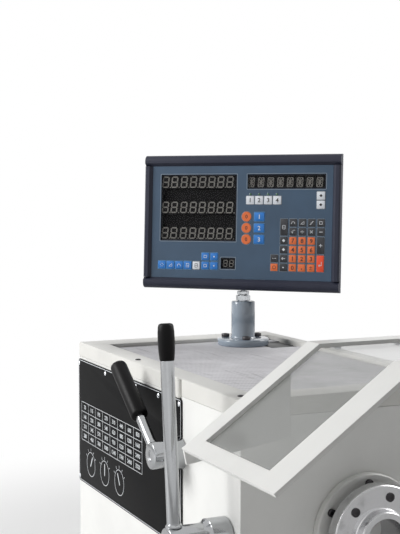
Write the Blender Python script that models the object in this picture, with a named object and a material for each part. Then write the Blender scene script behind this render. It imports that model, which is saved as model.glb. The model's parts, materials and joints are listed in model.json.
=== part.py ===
"""Geared lathe headstock with a digital readout console on a pedestal. Metres, +Z up.

The origin is the centre of the headstock's underside. +X runs along the spindle to
the nose, and -Y is the operator's side.
"""

from math import cos, pi, radians, sin

import bmesh
import bpy
from mathutils import Matrix, Vector

GAP = 0.0003                 # between pieces that touch
COARSE, MEDIUM, FINE = 12, 24, 32   # sides of a round piece
FIT = 0.0005                 # around a shank or a shaft that turns in its hole

# Headstock housing
HEAD_LENGTH = 0.508
HEAD_WIDTH = 0.300
HEAD_TOP = 0.320
COVER_DEPTH = 0.020
WALL = 0.014
FLOOR = 0.016
BOSS_WALL = 0.013

# Tray in the top cover
RIM_FRONT = 0.030
RIM_BACK = 0.018
RIM_LEFT = 0.044
RIM_RIGHT = 0.035
TRAY_DEPTH = 0.0076
MAT_THICK = 0.0020
MAT_PLAY = 0.0010
CABLE_SLOT = (0.072, 0.022)
CABLE_SLOT_FROM_POST = 0.044
CABLE_SLOT_FROM_RIM = 0.014

# Pedestal that carries the console
POST_FROM_LEFT = 0.088
POST_FROM_BACK = 0.083
FLANGE_RADIUS = 0.0369
FLANGE_THICK = 0.0096
TUBE_RADIUS = 0.0168
TUBE_WALL = 0.0035
TUBE_LENGTH = 0.0527
FLANGE_BOLT_INSET = 0.0099
FLANGE_BOLTS = 3
FLANGE_BOLT_START = radians(103)
SCREW_SHANK = 0.0024
SCREW_HEAD = 0.0058
SCREW_HEAD_HEIGHT = 0.0044
SCREW_BITE = 0.0050
STUD_RADIUS = 0.0037
STUD_DEPTH = 0.032
NUT_FLATS = 0.018
CLAMP_NUT_HEIGHT = 0.0087
LOCK_NUT_FLATS = 0.0150
LOCK_NUT_HEIGHT = 0.0050

# Console, in its own frame: X right, Y back, Z up, origin on the frame's front ridge
CONSOLE_WIDTH = 0.290
CONSOLE_HEIGHT = 0.1915
CONSOLE_DEPTH = 0.054
CONSOLE_TURN = radians(45)
CONSOLE_TILT = radians(-3.3)
CONSOLE_GAP = 0.0156         # from the post's top to the console's underside
RIDGE_TO_POST = 0.024
RAIL = 0.0153
CHEEK = 0.0110
RAIL_REACH = 0.030
CHEEK_REACH = 0.0115         # depth of the frame's two ends
SHELL_STEP = 0.009           # how far the shell's sides step in behind them
SHELL_STEP_Y = 0.019
RAIL_ROUND = 0.008
BEVEL = 0.0040
RIDGE = 0.0040               # how far the ridge stands in front of the panel's face
SHELL_WALL = 0.0025
LIP = 0.0060                 # thickness of the rails behind their front lip
OVERLAY_THICK = 0.0008
PLATE_THICK = 0.0020
KEY_RISE = 0.0006
KEY_WEB = 0.0006             # thickness of the rubber web that joins a group of keys
KEY_WEB_WIDTH = 0.0040
KEY_TRAVEL = 0.0004
KEY_CLEAR = 0.00035
BOARD_THICK = 0.0016
WINDOW_LEDGE = 0.0015
MAIN_BOARD_Y = 0.0250
BOARD_HALF = (0.105, 0.062)
MAIN_CHIPS = ((-0.050, 0.010, 0.024, 0.024, 0.003), (0.010, 0.020, 0.018, 0.012, 0.003),
              (0.045, -0.020, 0.016, 0.016, 0.008), (-0.060, -0.035, 0.030, 0.010, 0.007))
DISPLAY_BOARD_Y = 0.0125
DISPLAY_BOARD_INSET = 0.0025  # from the panel's edges to the display board's
DIGIT_CARRIER = 0.0012
DIGIT_ROW_PITCH = 0.0366
BRACKET_DEPTH = 0.018

# Rear of the console: every socket's place and size in X and Z
CONNECTOR = (0.026, 0.009)
CONNECTOR_XS = (-0.100, -0.060, -0.020)
CONNECTOR_Z = 0.034
INLET = (0.0270, 0.0200)
INLET_X = 0.095
INLET_Z = 0.022
ROCKER = (0.0130, 0.0190)
ROCKER_X = 0.066
ROCKER_CLEAR = 0.0006

# Windows of the panel: centre x, centre z, width, height
AXIS_WINDOW = (-0.0629, 0.0205, 0.1142, 0.0941)
MESSAGE_WINDOW = (0.0670, 0.0578, 0.1124, 0.0198)
FUNCTION_WINDOW = (-0.0166, -0.0581, 0.0206, 0.0152)

# Key grids of the panel
KEY = 0.0102
KEY_GAP = (0.0030, 0.0023)    # between neighbours, along X and along Z
PAD_X = 0.0782               # centre of the number pad's left column
PAD_Z = -0.0622              # centre of its bottom row
MENU_X = 0.0149
MENU_Z = 0.0316
MENU_KEY = 0.0116
MENU_GAP = 0.0016
ARROW_X = 0.1170
ARROW_Z = 0.0380
ARROW_KEY = (0.0116, 0.0112)
ARROW_GAP = 0.0013
AXIS_KEY_X = 0.0100
AXIS_KEY_Z = 0.0084
AXIS_KEY_RADIUS = 0.0070
AXIS_KEY_GAP = 0.0020
SELECT_KEY_X = 0.0289
SELECT_KEY = (0.0147, 0.0120)
FUNCTION_X = -0.1170
FUNCTION_Z = -0.0620
FUNCTION_KEY = (0.0117, 0.0110)
FUNCTION_GAP = 0.0015
UNIT_KEY = (0.0106, 0.0110)
STACK_KEY = (0.0109, 0.0102)
STACK_X = -0.0505
STACK_Z = -0.0490

# Label plate
LABEL_INSET = 0.002          # from the housing's left end
LABEL_DROP = 0.003           # below the cover
LABEL_LENGTH = 0.360
LABEL_HEIGHT = 0.175
LABEL_THICK = 0.0015

# Levers on the front
SPEED_HUB_INSET = 0.0323     # from the housing's right end
SPEED_HUB_HEIGHT = 0.170
SPEED_LEAN = radians(5.7)
SPEED_PLANE = 0.060          # in front of the housing
SPEED_ROD_RADIUS = 0.00725
SPEED_GRIP_START = 0.1885    # along the rod from the hub's axis
SPEED_GRIP_LENGTH = 0.0390
RANGE_HUB_INSET = 0.005      # from the label plate's right end
RANGE_HUB_DROP = 0.063       # below its top
RANGE_LEAN = radians(55)
RANGE_PLANE = 0.030
RANGE_ROD_RADIUS = 0.0060
RANGE_GRIP_RADIUS = 0.01035
RANGE_GRIP_START = 0.062
RANGE_GRIP_LENGTH = 0.0885
SPEED_HUB_RADIUS = 0.021
RANGE_HUB_RADIUS = 0.019
LEVER_SHAFT_RADIUS = 0.008
ARM_LENGTH = 0.048
ARM_THICK = 0.008
ARM_INSET = 0.012            # from the front wall's inner face

# Gear train: every gear has this module, so centre distances follow from teeth
MODULE = 0.003
SPINDLE_TEETH = 40
COUNTER_LARGE_TEETH = 32
COUNTER_SMALL_TEETH = 24
INPUT_TEETH = 16
GEAR_FACE = 0.018
SPINDLE_HEIGHT = 0.166
COUNTER_ANGLE = radians(-38.6)    # from the spindle, down towards the back
INPUT_ANGLE = radians(205.0)      # from the countershaft, down towards the front
HIGH_GEARS_X = 0.060
LOW_GEARS_X = -0.060
SPINDLE_RADIUS = 0.029
SPINDLE_BORE = 0.020
SPINDLE_TAIL = 0.024              # past the left wall
NOSE_RADIUS = 0.057
NOSE_START = 0.018                # from the right wall to the nose flange
NOSE_THICK = 0.015
REGISTER_RADIUS = 0.0315
REGISTER_LENGTH = 0.010
SHAFT_RADIUS = 0.013
BEARING_RING = 0.014              # from the spindle to the outside of its bearings
BEARING_INSET = 0.002
SHAFT_INSET = 0.004               # from the housing's end faces to the inner shafts' ends
NUT_WALL = 0.011                  # of the ring nut on the spindle's tail
PULLEY_CLEAR = 0.001              # from the pulley to that nut
PULLEY_WIDTH = 0.034
PULLEY_GAP = 0.004                # from the left wall

# Chuck guard: its side profile in Y and Z runs from the front lip to the hinge
GUARD_GAP = 0.042            # from the housing's right end
GUARD_LENGTH = 0.185
GUARD_LEFT_STRIP = 0.023
GUARD_RIGHT_STRIP = 0.035
GUARD_METAL = 0.0040
GUARD_SHEET = 0.0020
GUARD_LIP = (-0.340, -0.0864)     # from the hinge
GUARD_BEND = (-0.2008, 0.0094)    # from the hinge
GUARD_WEB_SHARE = 0.84            # how much of the slope the side web covers
GUARD_WEB_DROP = 0.078            # height of the web's rear edge
HINGE_INSET = 0.045               # from the housing's back
HINGE_RISE = 0.0535                # above the cover
HINGE_EYE = 0.0095
HINGE_ROD_RADIUS = 0.006
BRACKET_HALF = 0.018

# Values that follow from the ones above
COVER_BASE = HEAD_TOP - COVER_DEPTH
FRONT = -HEAD_WIDTH / 2
BACK = HEAD_WIDTH / 2
LEFT = -HEAD_LENGTH / 2
RIGHT = HEAD_LENGTH / 2
POST_X = LEFT + POST_FROM_LEFT
POST_Y = BACK - POST_FROM_BACK
CABLE_SLOT_CENTRE = (POST_X + CABLE_SLOT_FROM_POST, BACK - RIM_BACK - CABLE_SLOT_FROM_RIM)
FLANGE_BOLT_CIRCLE = FLANGE_RADIUS - FLANGE_BOLT_INSET
LABEL_LEFT = LEFT + LABEL_INSET
LABEL_RIGHT = LABEL_LEFT + LABEL_LENGTH
LABEL_TOP = COVER_BASE - LABEL_DROP
LABEL_BOTTOM = LABEL_TOP - LABEL_HEIGHT
SPEED_HUB = (RIGHT - SPEED_HUB_INSET, SPEED_HUB_HEIGHT)
RANGE_HUB = (LABEL_RIGHT - RANGE_HUB_INSET, LABEL_TOP - RANGE_HUB_DROP)
GUARD_START = RIGHT + GUARD_GAP
GUARD_END = GUARD_START + GUARD_LENGTH
HINGE_Y = BACK - HINGE_INSET
HINGE_Z = HEAD_TOP + HINGE_RISE
PAD_PITCH_X = KEY + KEY_GAP[0]
PAD_PITCH_Z = KEY + KEY_GAP[1]
MENU_PITCH = MENU_KEY + MENU_GAP
ARROW_PITCH = ARROW_KEY[1] + ARROW_GAP
AXIS_KEY_PITCH = 2 * AXIS_KEY_RADIUS + AXIS_KEY_GAP
FUNCTION_PITCH = FUNCTION_KEY[0] + FUNCTION_GAP
TRAY_FLOOR = HEAD_TOP - TRAY_DEPTH
MAT_TOP = TRAY_FLOOR + GAP + MAT_THICK
FLANGE_BASE = MAT_TOP + GAP
TUBE_BASE = FLANGE_BASE + FLANGE_THICK + GAP
POST_TOP = TUBE_BASE + TUBE_LENGTH
PANEL_HALF_X = CONSOLE_WIDTH / 2 - CHEEK
PANEL_HALF_Z = CONSOLE_HEIGHT / 2 - RAIL
PANEL_Y = RIDGE / 2
SHELL_START = PANEL_Y + 0.0062
KEY_FRONT = PANEL_Y - KEY_RISE
WEB_FRONT = PANEL_Y + OVERLAY_THICK + GAP
PLATE_Y = WEB_FRONT + KEY_WEB + KEY_TRAVEL + GAP
COUNTER_RADIUS = MODULE * (SPINDLE_TEETH + COUNTER_SMALL_TEETH) / 2
INPUT_DISTANCE = MODULE * (COUNTER_LARGE_TEETH + INPUT_TEETH) / 2
SPINDLE_AT = Vector((0, 0, SPINDLE_HEIGHT))
COUNTER_AT = SPINDLE_AT + COUNTER_RADIUS * Vector((0, cos(COUNTER_ANGLE), sin(COUNTER_ANGLE)))
INPUT_AT = COUNTER_AT + INPUT_DISTANCE * Vector((0, cos(INPUT_ANGLE), sin(INPUT_ANGLE)))
NUT_RADIUS = SPINDLE_RADIUS + NUT_WALL
PULLEY_RADIUS = (INPUT_AT - SPINDLE_AT).length - NUT_RADIUS - PULLEY_CLEAR


# ---------------------------------------------------------------- helpers

def clear_scene():
    for thing in list(bpy.data.objects):
        bpy.data.objects.remove(thing, do_unlink=True)


def paint(name, colour, roughness, metallic=0.0):
    material = bpy.data.materials.new(name)
    material.use_nodes = True
    shader = material.node_tree.nodes["Principled BSDF"]
    shader.inputs["Base Color"].default_value = (*colour, 1)
    shader.inputs["Roughness"].default_value = roughness
    shader.inputs["Metallic"].default_value = metallic
    material.diffuse_color = (*colour, 1)
    return material


def finish(name, mesh_data, material=None, parent=None):
    """A mesh object from a bmesh, with its faces turned outwards."""
    bmesh.ops.recalc_face_normals(mesh_data, faces=mesh_data.faces)
    mesh = bpy.data.meshes.new(name)
    mesh_data.to_mesh(mesh)
    mesh_data.free()
    mesh.shade_smooth()
    mesh.set_sharp_from_angle(angle=radians(35))
    thing = bpy.data.objects.new(name, mesh)
    bpy.context.scene.collection.objects.link(thing)
    if material:
        mesh.materials.append(material)
    if parent:
        thing.parent = parent
    return thing


def add_prism(mesh_data, outline, start, end, axis="Z"):
    """Extrudes a closed outline of (a, b) points along an axis, as one closed body.

    On Z the points are (x, y), on Y they are (x, z), and on X they are (y, z).
    """
    def place(point, level):
        a, b = point
        return {"X": (level, a, b), "Y": (a, level, b), "Z": (a, b, level)}[axis]

    low = [mesh_data.verts.new(place(point, start)) for point in outline]
    high = [mesh_data.verts.new(place(point, end)) for point in outline]
    mesh_data.faces.new(low[::-1])
    mesh_data.faces.new(high)
    count = len(outline)
    for i in range(count):
        j = (i + 1) % count
        mesh_data.faces.new((low[i], low[j], high[j], high[i]))


def add_box(mesh_data, low, high):
    outline = [(low[0], low[1]), (high[0], low[1]), (high[0], high[1]), (low[0], high[1])]
    add_prism(mesh_data, outline, low[2], high[2])


def add_block(mesh_data, centre, size):
    low = [c - s / 2 for c, s in zip(centre, size)]
    high = [c + s / 2 for c, s in zip(centre, size)]
    add_box(mesh_data, low, high)


def circle(radius, count, centre=(0, 0), turn=0.0):
    return [(centre[0] + radius * cos(turn + 2 * pi * i / count),
             centre[1] + radius * sin(turn + 2 * pi * i / count)) for i in range(count)]


def add_turned(mesh_data, profile, count, frame=None, closed_loop=False):
    """Turns a profile of (radius, height) points about the Z axis of a frame matrix.

    A profile that starts and ends on the axis makes a solid, and one with
    closed_loop makes a ring.
    """
    frame = frame or Matrix.Identity(4)
    rings = []
    for radius, height in profile:
        if radius == 0:
            rings.append([mesh_data.verts.new(frame @ Vector((0, 0, height)))])
            continue
        rings.append([mesh_data.verts.new(frame @ Vector((
            radius * cos(2 * pi * i / count), radius * sin(2 * pi * i / count), height)))
            for i in range(count)])
    pairs = list(zip(rings, rings[1:]))
    if closed_loop:
        pairs.append((rings[-1], rings[0]))
    for lower, upper in pairs:
        for i in range(count):
            j = (i + 1) % count
            if len(lower) == 1:
                mesh_data.faces.new((lower[0], upper[j], upper[i]))
            elif len(upper) == 1:
                mesh_data.faces.new((lower[i], lower[j], upper[0]))
            else:
                mesh_data.faces.new((lower[i], lower[j], upper[j], upper[i]))


def facing(point, axis):
    """A frame whose Z axis points along the axis, with its origin at the point."""
    return Matrix.Translation(point) @ Vector(axis).to_track_quat("Z", "Y").to_matrix().to_4x4()


def rod(radius, length):
    return [(0, 0), (radius, 0), (radius, length), (0, length)]


def ring(outer, inner, length):
    return [(inner, 0), (outer, 0), (outer, length), (inner, length)]


def solid(name, build, material=None, parent=None):
    """An object whose mesh is filled in by a function."""
    mesh_data = bmesh.new()
    build(mesh_data)
    return finish(name, mesh_data, material, parent)


def cut(thing, build, parent=None):
    """Takes the shape that a function builds away from an object.

    Here and in join, the shape may be several solids that overlap each other.
    """
    tool = solid(thing.name + "_cutter", build, parent=parent)
    tool.hide_render = True
    tool.display_type = "WIRE"
    boolean(thing, tool, "DIFFERENCE")


def join(thing, build, parent=None):
    """Adds the shape that a function builds to an object, as one body."""
    tool = solid(thing.name + "_addition", build, parent=parent)
    tool.hide_render = True
    tool.display_type = "WIRE"
    boolean(thing, tool, "UNION")


def boolean(thing, tool, operation):
    step = thing.modifiers.new(operation.lower(), "BOOLEAN")
    step.operation = operation
    step.object = tool
    step.use_self = True


def empty(name, place, parent=None):
    thing = bpy.data.objects.new(name, None)
    bpy.context.scene.collection.objects.link(thing)
    thing.location = place
    thing.parent = parent
    return thing


# ---------------------------------------------------------------- housing

def shaft_seats():
    """Each shaft's axis point with its bore's radius: bearings carry the spindle only."""
    return ((SPINDLE_AT, SPINDLE_RADIUS + BEARING_RING + GAP),
            (COUNTER_AT, SHAFT_RADIUS + FIT), (INPUT_AT, SHAFT_RADIUS + FIT))


def housing(material):
    thing = solid("headstock_casting", lambda m: add_box(
        m, (LEFT, FRONT, 0), (RIGHT, BACK, COVER_BASE - GAP)), material)
    cut(thing, lambda m: add_box(
        m, (LEFT + WALL, FRONT + WALL, FLOOR), (RIGHT - WALL, BACK - WALL, COVER_BASE + WALL)))

    def bosses(m):
        for centre, radius in shaft_seats():
            for wall, inwards in ((LEFT, 1), (RIGHT, -1)):
                start = Vector((wall + inwards * WALL / 2, centre.y, centre.z))
                frame = facing(start, (inwards, 0, 0))
                add_turned(m, rod(radius + BOSS_WALL, WALL / 2 + BOSS_WALL), MEDIUM, frame)
    join(thing, bosses)

    def bores(m):
        for centre, radius in shaft_seats():
            frame = facing((LEFT - WALL, centre.y, centre.z), (1, 0, 0))
            add_turned(m, rod(radius, HEAD_LENGTH + 2 * WALL), FINE, frame)
        for (x, z) in (SPEED_HUB, RANGE_HUB):
            frame = facing((x, FRONT - WALL, z), (0, 1, 0))
            add_turned(m, rod(LEVER_SHAFT_RADIUS + FIT, 3 * WALL), MEDIUM, frame)
    cut(thing, bores)
    return thing


def top_cover(material):
    thing = solid("top_cover", lambda m: add_box(
        m, (LEFT, FRONT, COVER_BASE), (RIGHT, BACK, HEAD_TOP)), material)
    bevel = thing.modifiers.new("soft_edges", "BEVEL")
    bevel.width = 0.0015
    bevel.segments = 2
    bevel.limit_method = "ANGLE"

    def hollows(m):
        add_box(m, (LEFT + RIM_LEFT, FRONT + RIM_FRONT, TRAY_FLOOR),
                (RIGHT - RIM_RIGHT, BACK - RIM_BACK, HEAD_TOP + WALL))
        add_block(m, (*CABLE_SLOT_CENTRE, COVER_BASE), (*CABLE_SLOT, 2 * COVER_DEPTH))
    cut(thing, hollows)

    screw_holes(thing, TRAY_FLOOR - SCREW_BITE - 2 * GAP)
    return thing


def screw_holes(thing, start):
    """The holes of the pedestal's screws, upwards from a level."""
    def holes(m):
        for x, y in flange_screws():
            add_turned(m, rod(SCREW_SHANK + GAP, 2 * COVER_DEPTH), COARSE, facing((x, y, start), (0, 0, 1)))
    cut(thing, holes)


def flange_screws():
    return [(POST_X + x, POST_Y + y) for x, y in circle(
        FLANGE_BOLT_CIRCLE, FLANGE_BOLTS, turn=FLANGE_BOLT_START)]


def cap_screw(head_radius, head_height, shank_radius, shank_length, socket=0.5):
    """Profile of a socket screw: its shank runs down from z = 0, its head stands on it."""
    return [(0, -shank_length), (shank_radius, -shank_length), (shank_radius, 0),
            (head_radius, 0), (head_radius, head_height * 0.85),
            (head_radius * 0.9, head_height), (head_radius * socket, head_height),
            (head_radius * socket, head_height * 0.55), (0, head_height * 0.55)]


def cover_mat(material):
    thing = solid("cover_mat", lambda m: add_box(
        m, (LEFT + RIM_LEFT + MAT_PLAY, FRONT + RIM_FRONT + MAT_PLAY, TRAY_FLOOR + GAP),
        (RIGHT - RIM_RIGHT - MAT_PLAY, BACK - RIM_BACK - MAT_PLAY, MAT_TOP)), material)

    def holes(m):
        add_block(m, (*CABLE_SLOT_CENTRE, MAT_TOP), (*CABLE_SLOT, 4 * MAT_THICK))
    cut(thing, holes)
    screw_holes(thing, TRAY_FLOOR - MAT_THICK)
    return thing


def label_plate(material):
    face = FRONT - GAP
    thing = solid("label_plate", lambda m: add_box(
        m, (LABEL_LEFT, face - LABEL_THICK, LABEL_BOTTOM), (LABEL_RIGHT, face, LABEL_TOP)), material)

    def hub_hole(m):
        frame = facing((RANGE_HUB[0], face + WALL, RANGE_HUB[1]), (0, -1, 0))
        add_turned(m, rod(RANGE_HUB_RADIUS + 2 * GAP, 2 * WALL), FINE, frame)
    cut(thing, hub_hole)
    return thing


# ---------------------------------------------------------------- pedestal

def pedestal(paint_finish, screw_finish, nut_finish):
    at = Vector((POST_X, POST_Y, 0))
    flange = solid("pedestal_flange", lambda m: add_turned(m, [
        (0, 0), (FLANGE_RADIUS - 0.0006, 0), (FLANGE_RADIUS, 0.0006),
        (FLANGE_RADIUS, FLANGE_THICK - 0.0012), (FLANGE_RADIUS - 0.0012, FLANGE_THICK),
        (0, FLANGE_THICK)], FINE, facing(at + Vector((0, 0, FLANGE_BASE)), (0, 0, 1))), paint_finish)

    screw_holes(flange, FLANGE_BASE - SCREW_BITE)

    inner = TUBE_RADIUS - TUBE_WALL
    solid("pedestal_tube", lambda m: add_turned(m, [
        (inner, 0), (TUBE_RADIUS, 0), (TUBE_RADIUS, TUBE_LENGTH - 0.001),
        (TUBE_RADIUS - 0.001, TUBE_LENGTH), (STUD_RADIUS + FIT, TUBE_LENGTH),
        (STUD_RADIUS + FIT, TUBE_LENGTH - TUBE_WALL), (inner, TUBE_LENGTH - TUBE_WALL)],
        FINE, facing(at + Vector((0, 0, TUBE_BASE)), (0, 0, 1)), closed_loop=True), paint_finish)

    seat = FLANGE_BASE + FLANGE_THICK + GAP
    reach = FLANGE_THICK + MAT_THICK + SCREW_BITE
    for number, (x, y) in enumerate(flange_screws(), 1):
        profile = cap_screw(SCREW_HEAD, SCREW_HEAD_HEIGHT, SCREW_SHANK, reach)
        frame = facing((x, y, seat), (0, 0, 1))
        solid(f"pedestal_screw_{number}", lambda m, profile=profile, frame=frame: add_turned(
            m, profile, COARSE, frame), screw_finish)

    swivel = empty("console_swivel", (POST_X, POST_Y, POST_TOP))
    clamp_top = hex_nut("clamp_nut", NUT_FLATS, CLAMP_NUT_HEIGHT, GAP, nut_finish, swivel)
    hex_nut("lock_nut", LOCK_NUT_FLATS, LOCK_NUT_HEIGHT, clamp_top + GAP, nut_finish, swivel)
    solid("swivel_stud", lambda m: add_turned(m, [
        (0, -STUD_DEPTH), (STUD_RADIUS - 0.0006, -STUD_DEPTH), (STUD_RADIUS, -STUD_DEPTH + 0.0006),
        (STUD_RADIUS, CONSOLE_GAP + 0.0165), (STUD_RADIUS - 0.0006, CONSOLE_GAP + 0.0171),
        (0, CONSOLE_GAP + 0.0171)], COARSE), nut_finish, swivel)
    return swivel


def hex_nut(name, flats, height, start, material, parent):
    """A hexagon nut on the swivel's axis. Returns the height of its top."""
    thing = solid(name, lambda m: add_prism(
        m, circle(flats / 2 / cos(pi / 6), 6, turn=radians(20)), start, start + height), material, parent)
    cut(thing, lambda m: add_turned(
        m, rod(STUD_RADIUS + GAP, 3 * height), MEDIUM, facing((0, 0, start - height), (0, 0, 1))), parent)
    return start + height


# ---------------------------------------------------------------- console

def rail_profile(direction):
    """Section of the top rail (direction 1) or the bottom one (-1), as (y, z) points."""
    outer = CONSOLE_HEIGHT / 2
    inner = PANEL_HALF_Z
    back = RAIL_REACH
    points = [(PANEL_Y, inner), (-RIDGE / 2, inner + BEVEL), (-RIDGE / 2, outer - RAIL_ROUND)]
    steps = 6
    for step in range(1, steps + 1):
        angle = pi / 2 * step / steps
        points.append((-RIDGE / 2 + RAIL_ROUND * (1 - cos(angle)),
                       outer - RAIL_ROUND + RAIL_ROUND * sin(angle)))
    points += [(back, outer), (back, outer - LIP),
               (SHELL_START - GAP, outer - LIP), (SHELL_START - GAP, inner)]
    return [(y, direction * z) for y, z in points]


def rail_ends(m):
    """What is taken off behind the ends of both rails, where the shell steps in."""
    start = CONSOLE_WIDTH / 2 - LIP - SHELL_STEP
    for side in (-1, 1):
        add_block(m, (side * (start + 0.02), CHEEK_REACH + RAIL_REACH, 0),
                  (0.04, 2 * RAIL_REACH, 2 * CONSOLE_HEIGHT))


def cheek(name, side, material, parent):
    outer = CONSOLE_WIDTH / 2
    inner = PANEL_HALF_X
    profile = [(PANEL_Y, inner), (-RIDGE / 2, inner + BEVEL), (-RIDGE / 2, outer - 0.002),
               (-RIDGE / 2 + 0.002, outer), (CHEEK_REACH, outer),
               (CHEEK_REACH, outer - LIP + GAP), (SHELL_START - GAP, outer - LIP + GAP),
               (SHELL_START - GAP, inner)]
    outline = [(side * x, y) for y, x in profile]
    half = CONSOLE_HEIGHT / 2 - LIP - GAP
    thing = solid(name, lambda m: add_prism(m, outline, -half, half), material, parent)

    def notches(m):
        for end in (-1, 1):
            add_block(m, (side * outer, 0, end * (PANEL_HALF_Z - GAP + RAIL / 2)),
                      (4 * CHEEK, 2 * SHELL_START, RAIL))
    cut(thing, notches, parent)
    return thing


def case_shell(material, parent):
    half_x = CONSOLE_WIDTH / 2 - LIP
    half_z = CONSOLE_HEIGHT / 2 - LIP - GAP
    back_x = half_x - SHELL_STEP
    thing = solid("case_back_shell", lambda m: add_box(
        m, (-back_x, SHELL_STEP_Y - 0.004, -half_z), (back_x, CONSOLE_DEPTH, half_z)), material, parent)
    bevel = thing.modifiers.new("back_edges", "BEVEL")
    bevel.width = 0.006
    bevel.segments = 3
    bevel.limit_method = "WEIGHT"
    weight_back_edges(thing, CONSOLE_DEPTH)
    join(thing, lambda m: add_box(
        m, (-half_x, SHELL_START, -half_z), (half_x, SHELL_STEP_Y, half_z)), parent)
    cut(thing, lambda m: add_box(
        m, (-back_x + SHELL_WALL, 0, -half_z + SHELL_WALL),
        (back_x - SHELL_WALL, CONSOLE_DEPTH - SHELL_WALL, half_z - SHELL_WALL)), parent)
    cut(thing, lambda m: add_box(
        m, (-half_x + SHELL_WALL, 0, -half_z + SHELL_WALL),
        (half_x - SHELL_WALL, SHELL_STEP_Y - SHELL_WALL, half_z - SHELL_WALL)), parent)

    def pillars(m):
        for x, z in corners(*BOARD_HALF, 0.006):
            frame = facing((x, CONSOLE_DEPTH - SHELL_WALL / 2, z), (0, -1, 0))
            reach = CONSOLE_DEPTH - SHELL_WALL / 2 - MAIN_BOARD_Y - BOARD_THICK - GAP
            add_turned(m, rod(0.0035, reach), COARSE, frame)
    join(thing, pillars, parent)

    def openings(m):
        sockets = [((x, CONNECTOR_Z), CONNECTOR, GAP) for x in CONNECTOR_XS]
        sockets += [((INLET_X, INLET_Z), INLET, GAP), ((ROCKER_X, INLET_Z), ROCKER, ROCKER_CLEAR)]
        for (x, z), (width, height), play in sockets:
            add_block(m, (x, CONSOLE_DEPTH, z), (width + 2 * play, 4 * SHELL_WALL, height + 2 * play))
    cut(thing, openings, parent)
    return thing


def weight_back_edges(thing, level):
    mesh = thing.data
    weights = mesh.attributes.new("bevel_weight_edge", "FLOAT", "EDGE")
    for edge in mesh.edges:
        ends = [mesh.vertices[i].co for i in edge.vertices]
        if all(abs(end.y - level) < GAP for end in ends):
            weights.data[edge.index].value = 1.0


def corners(half_x, half_z, inset):
    """The four points at an inset from the corners of a rectangle centred on the panel."""
    return [(sx * (half_x - inset), sz * (half_z - inset)) for sx in (-1, 1) for sz in (-1, 1)]


def number_keys():
    """Centres and sizes of the orange keys: the ten digits, point, sign and clear."""
    keys = [(PAD_X + PAD_PITCH_X * column, PAD_Z + PAD_PITCH_Z * row, KEY, KEY)
            for row in range(4) for column in range(3)]
    keys.append((PAD_X - 2 * PAD_PITCH_X, PAD_Z, KEY, KEY))
    return keys


def black_keys():
    left = PAD_X - PAD_PITCH_X
    right = PAD_X + 3 * PAD_PITCH_X
    keys = [(left, PAD_Z + PAD_PITCH_Z * row, KEY, KEY) for row in range(4)]
    keys.append((PAD_X - 2 * PAD_PITCH_X, PAD_Z + PAD_PITCH_Z, KEY, KEY))
    keys.append((left, PAD_Z + 4.5 * PAD_PITCH_Z, KEY, KEY + PAD_PITCH_Z))
    keys += [(PAD_X + PAD_PITCH_X * column, PAD_Z + PAD_PITCH_Z * row, KEY, KEY)
             for row in (4, 5) for column in range(4)]
    keys.append((right, PAD_Z + 2.5 * PAD_PITCH_Z, KEY, KEY + PAD_PITCH_Z))
    return keys


def enter_keys():
    return [(PAD_X + 3 * PAD_PITCH_X, PAD_Z + 0.5 * PAD_PITCH_Z, KEY, KEY + PAD_PITCH_Z)]


def menu_keys():
    keys = [(MENU_X + MENU_PITCH * i, MENU_Z, MENU_KEY, MENU_KEY) for i in range(4)]
    return keys + [(ARROW_X, z, *ARROW_KEY) for z in (ARROW_Z, ARROW_Z - ARROW_PITCH)]


def select_keys():
    return [(SELECT_KEY_X, AXIS_KEY_Z - AXIS_KEY_PITCH * i, *SELECT_KEY) for i in range(3)]


def function_keys():
    keys = [(FUNCTION_X + FUNCTION_PITCH * i, FUNCTION_Z, *FUNCTION_KEY) for i in range(4)]
    return keys + [(STACK_X + FUNCTION_PITCH * i, z, *STACK_KEY)
                   for i in range(2) for z in (FUNCTION_Z, STACK_Z)]


def unit_keys():
    return [(FUNCTION_X + 4 * FUNCTION_PITCH, FUNCTION_Z, *UNIT_KEY)]


def square_groups():
    return {"digit_keys": number_keys(), "operator_keys": black_keys(), "enter_key": enter_keys(),
            "menu_keys": menu_keys(), "axis_select_keys": select_keys(),
            "function_keys": function_keys(), "inch_metric_key": unit_keys()}


def round_keys():
    return [(AXIS_KEY_X, AXIS_KEY_Z - AXIS_KEY_PITCH * i) for i in range(3)]


def add_key(m, x, z, width, height):
    """A key cap: straight sides and a small bevel round its front."""
    edge = 0.0004
    outline = [(x - width / 2, z - height / 2), (x + width / 2, z - height / 2),
               (x + width / 2, z + height / 2), (x - width / 2, z + height / 2)]
    inner = [(px + (edge if px < x else -edge), pz + (edge if pz < z else -edge)) for px, pz in outline]
    back = WEB_FRONT + KEY_WEB / 2
    levels = ((back, outline), (KEY_FRONT + edge, outline), (KEY_FRONT, inner))
    layers = [[m.verts.new((px, y, pz)) for px, pz in points] for y, points in levels]
    m.faces.new(layers[0])
    m.faces.new(layers[-1][::-1])
    for lower, upper in zip(layers, layers[1:]):
        for i in range(4):
            j = (i + 1) % 4
            m.faces.new((lower[i], upper[i], upper[j], lower[j]))


def add_web(m, start, end):
    """A strip of the key web between two points of the panel, squared off past both."""
    half = KEY_WEB_WIDTH / 2
    low = [min(a, b) - half for a, b in zip(start, end)]
    high = [max(a, b) + half for a, b in zip(start, end)]
    add_box(m, (low[0], WEB_FRONT, low[1]), (high[0], WEB_FRONT + KEY_WEB, high[1]))


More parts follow.
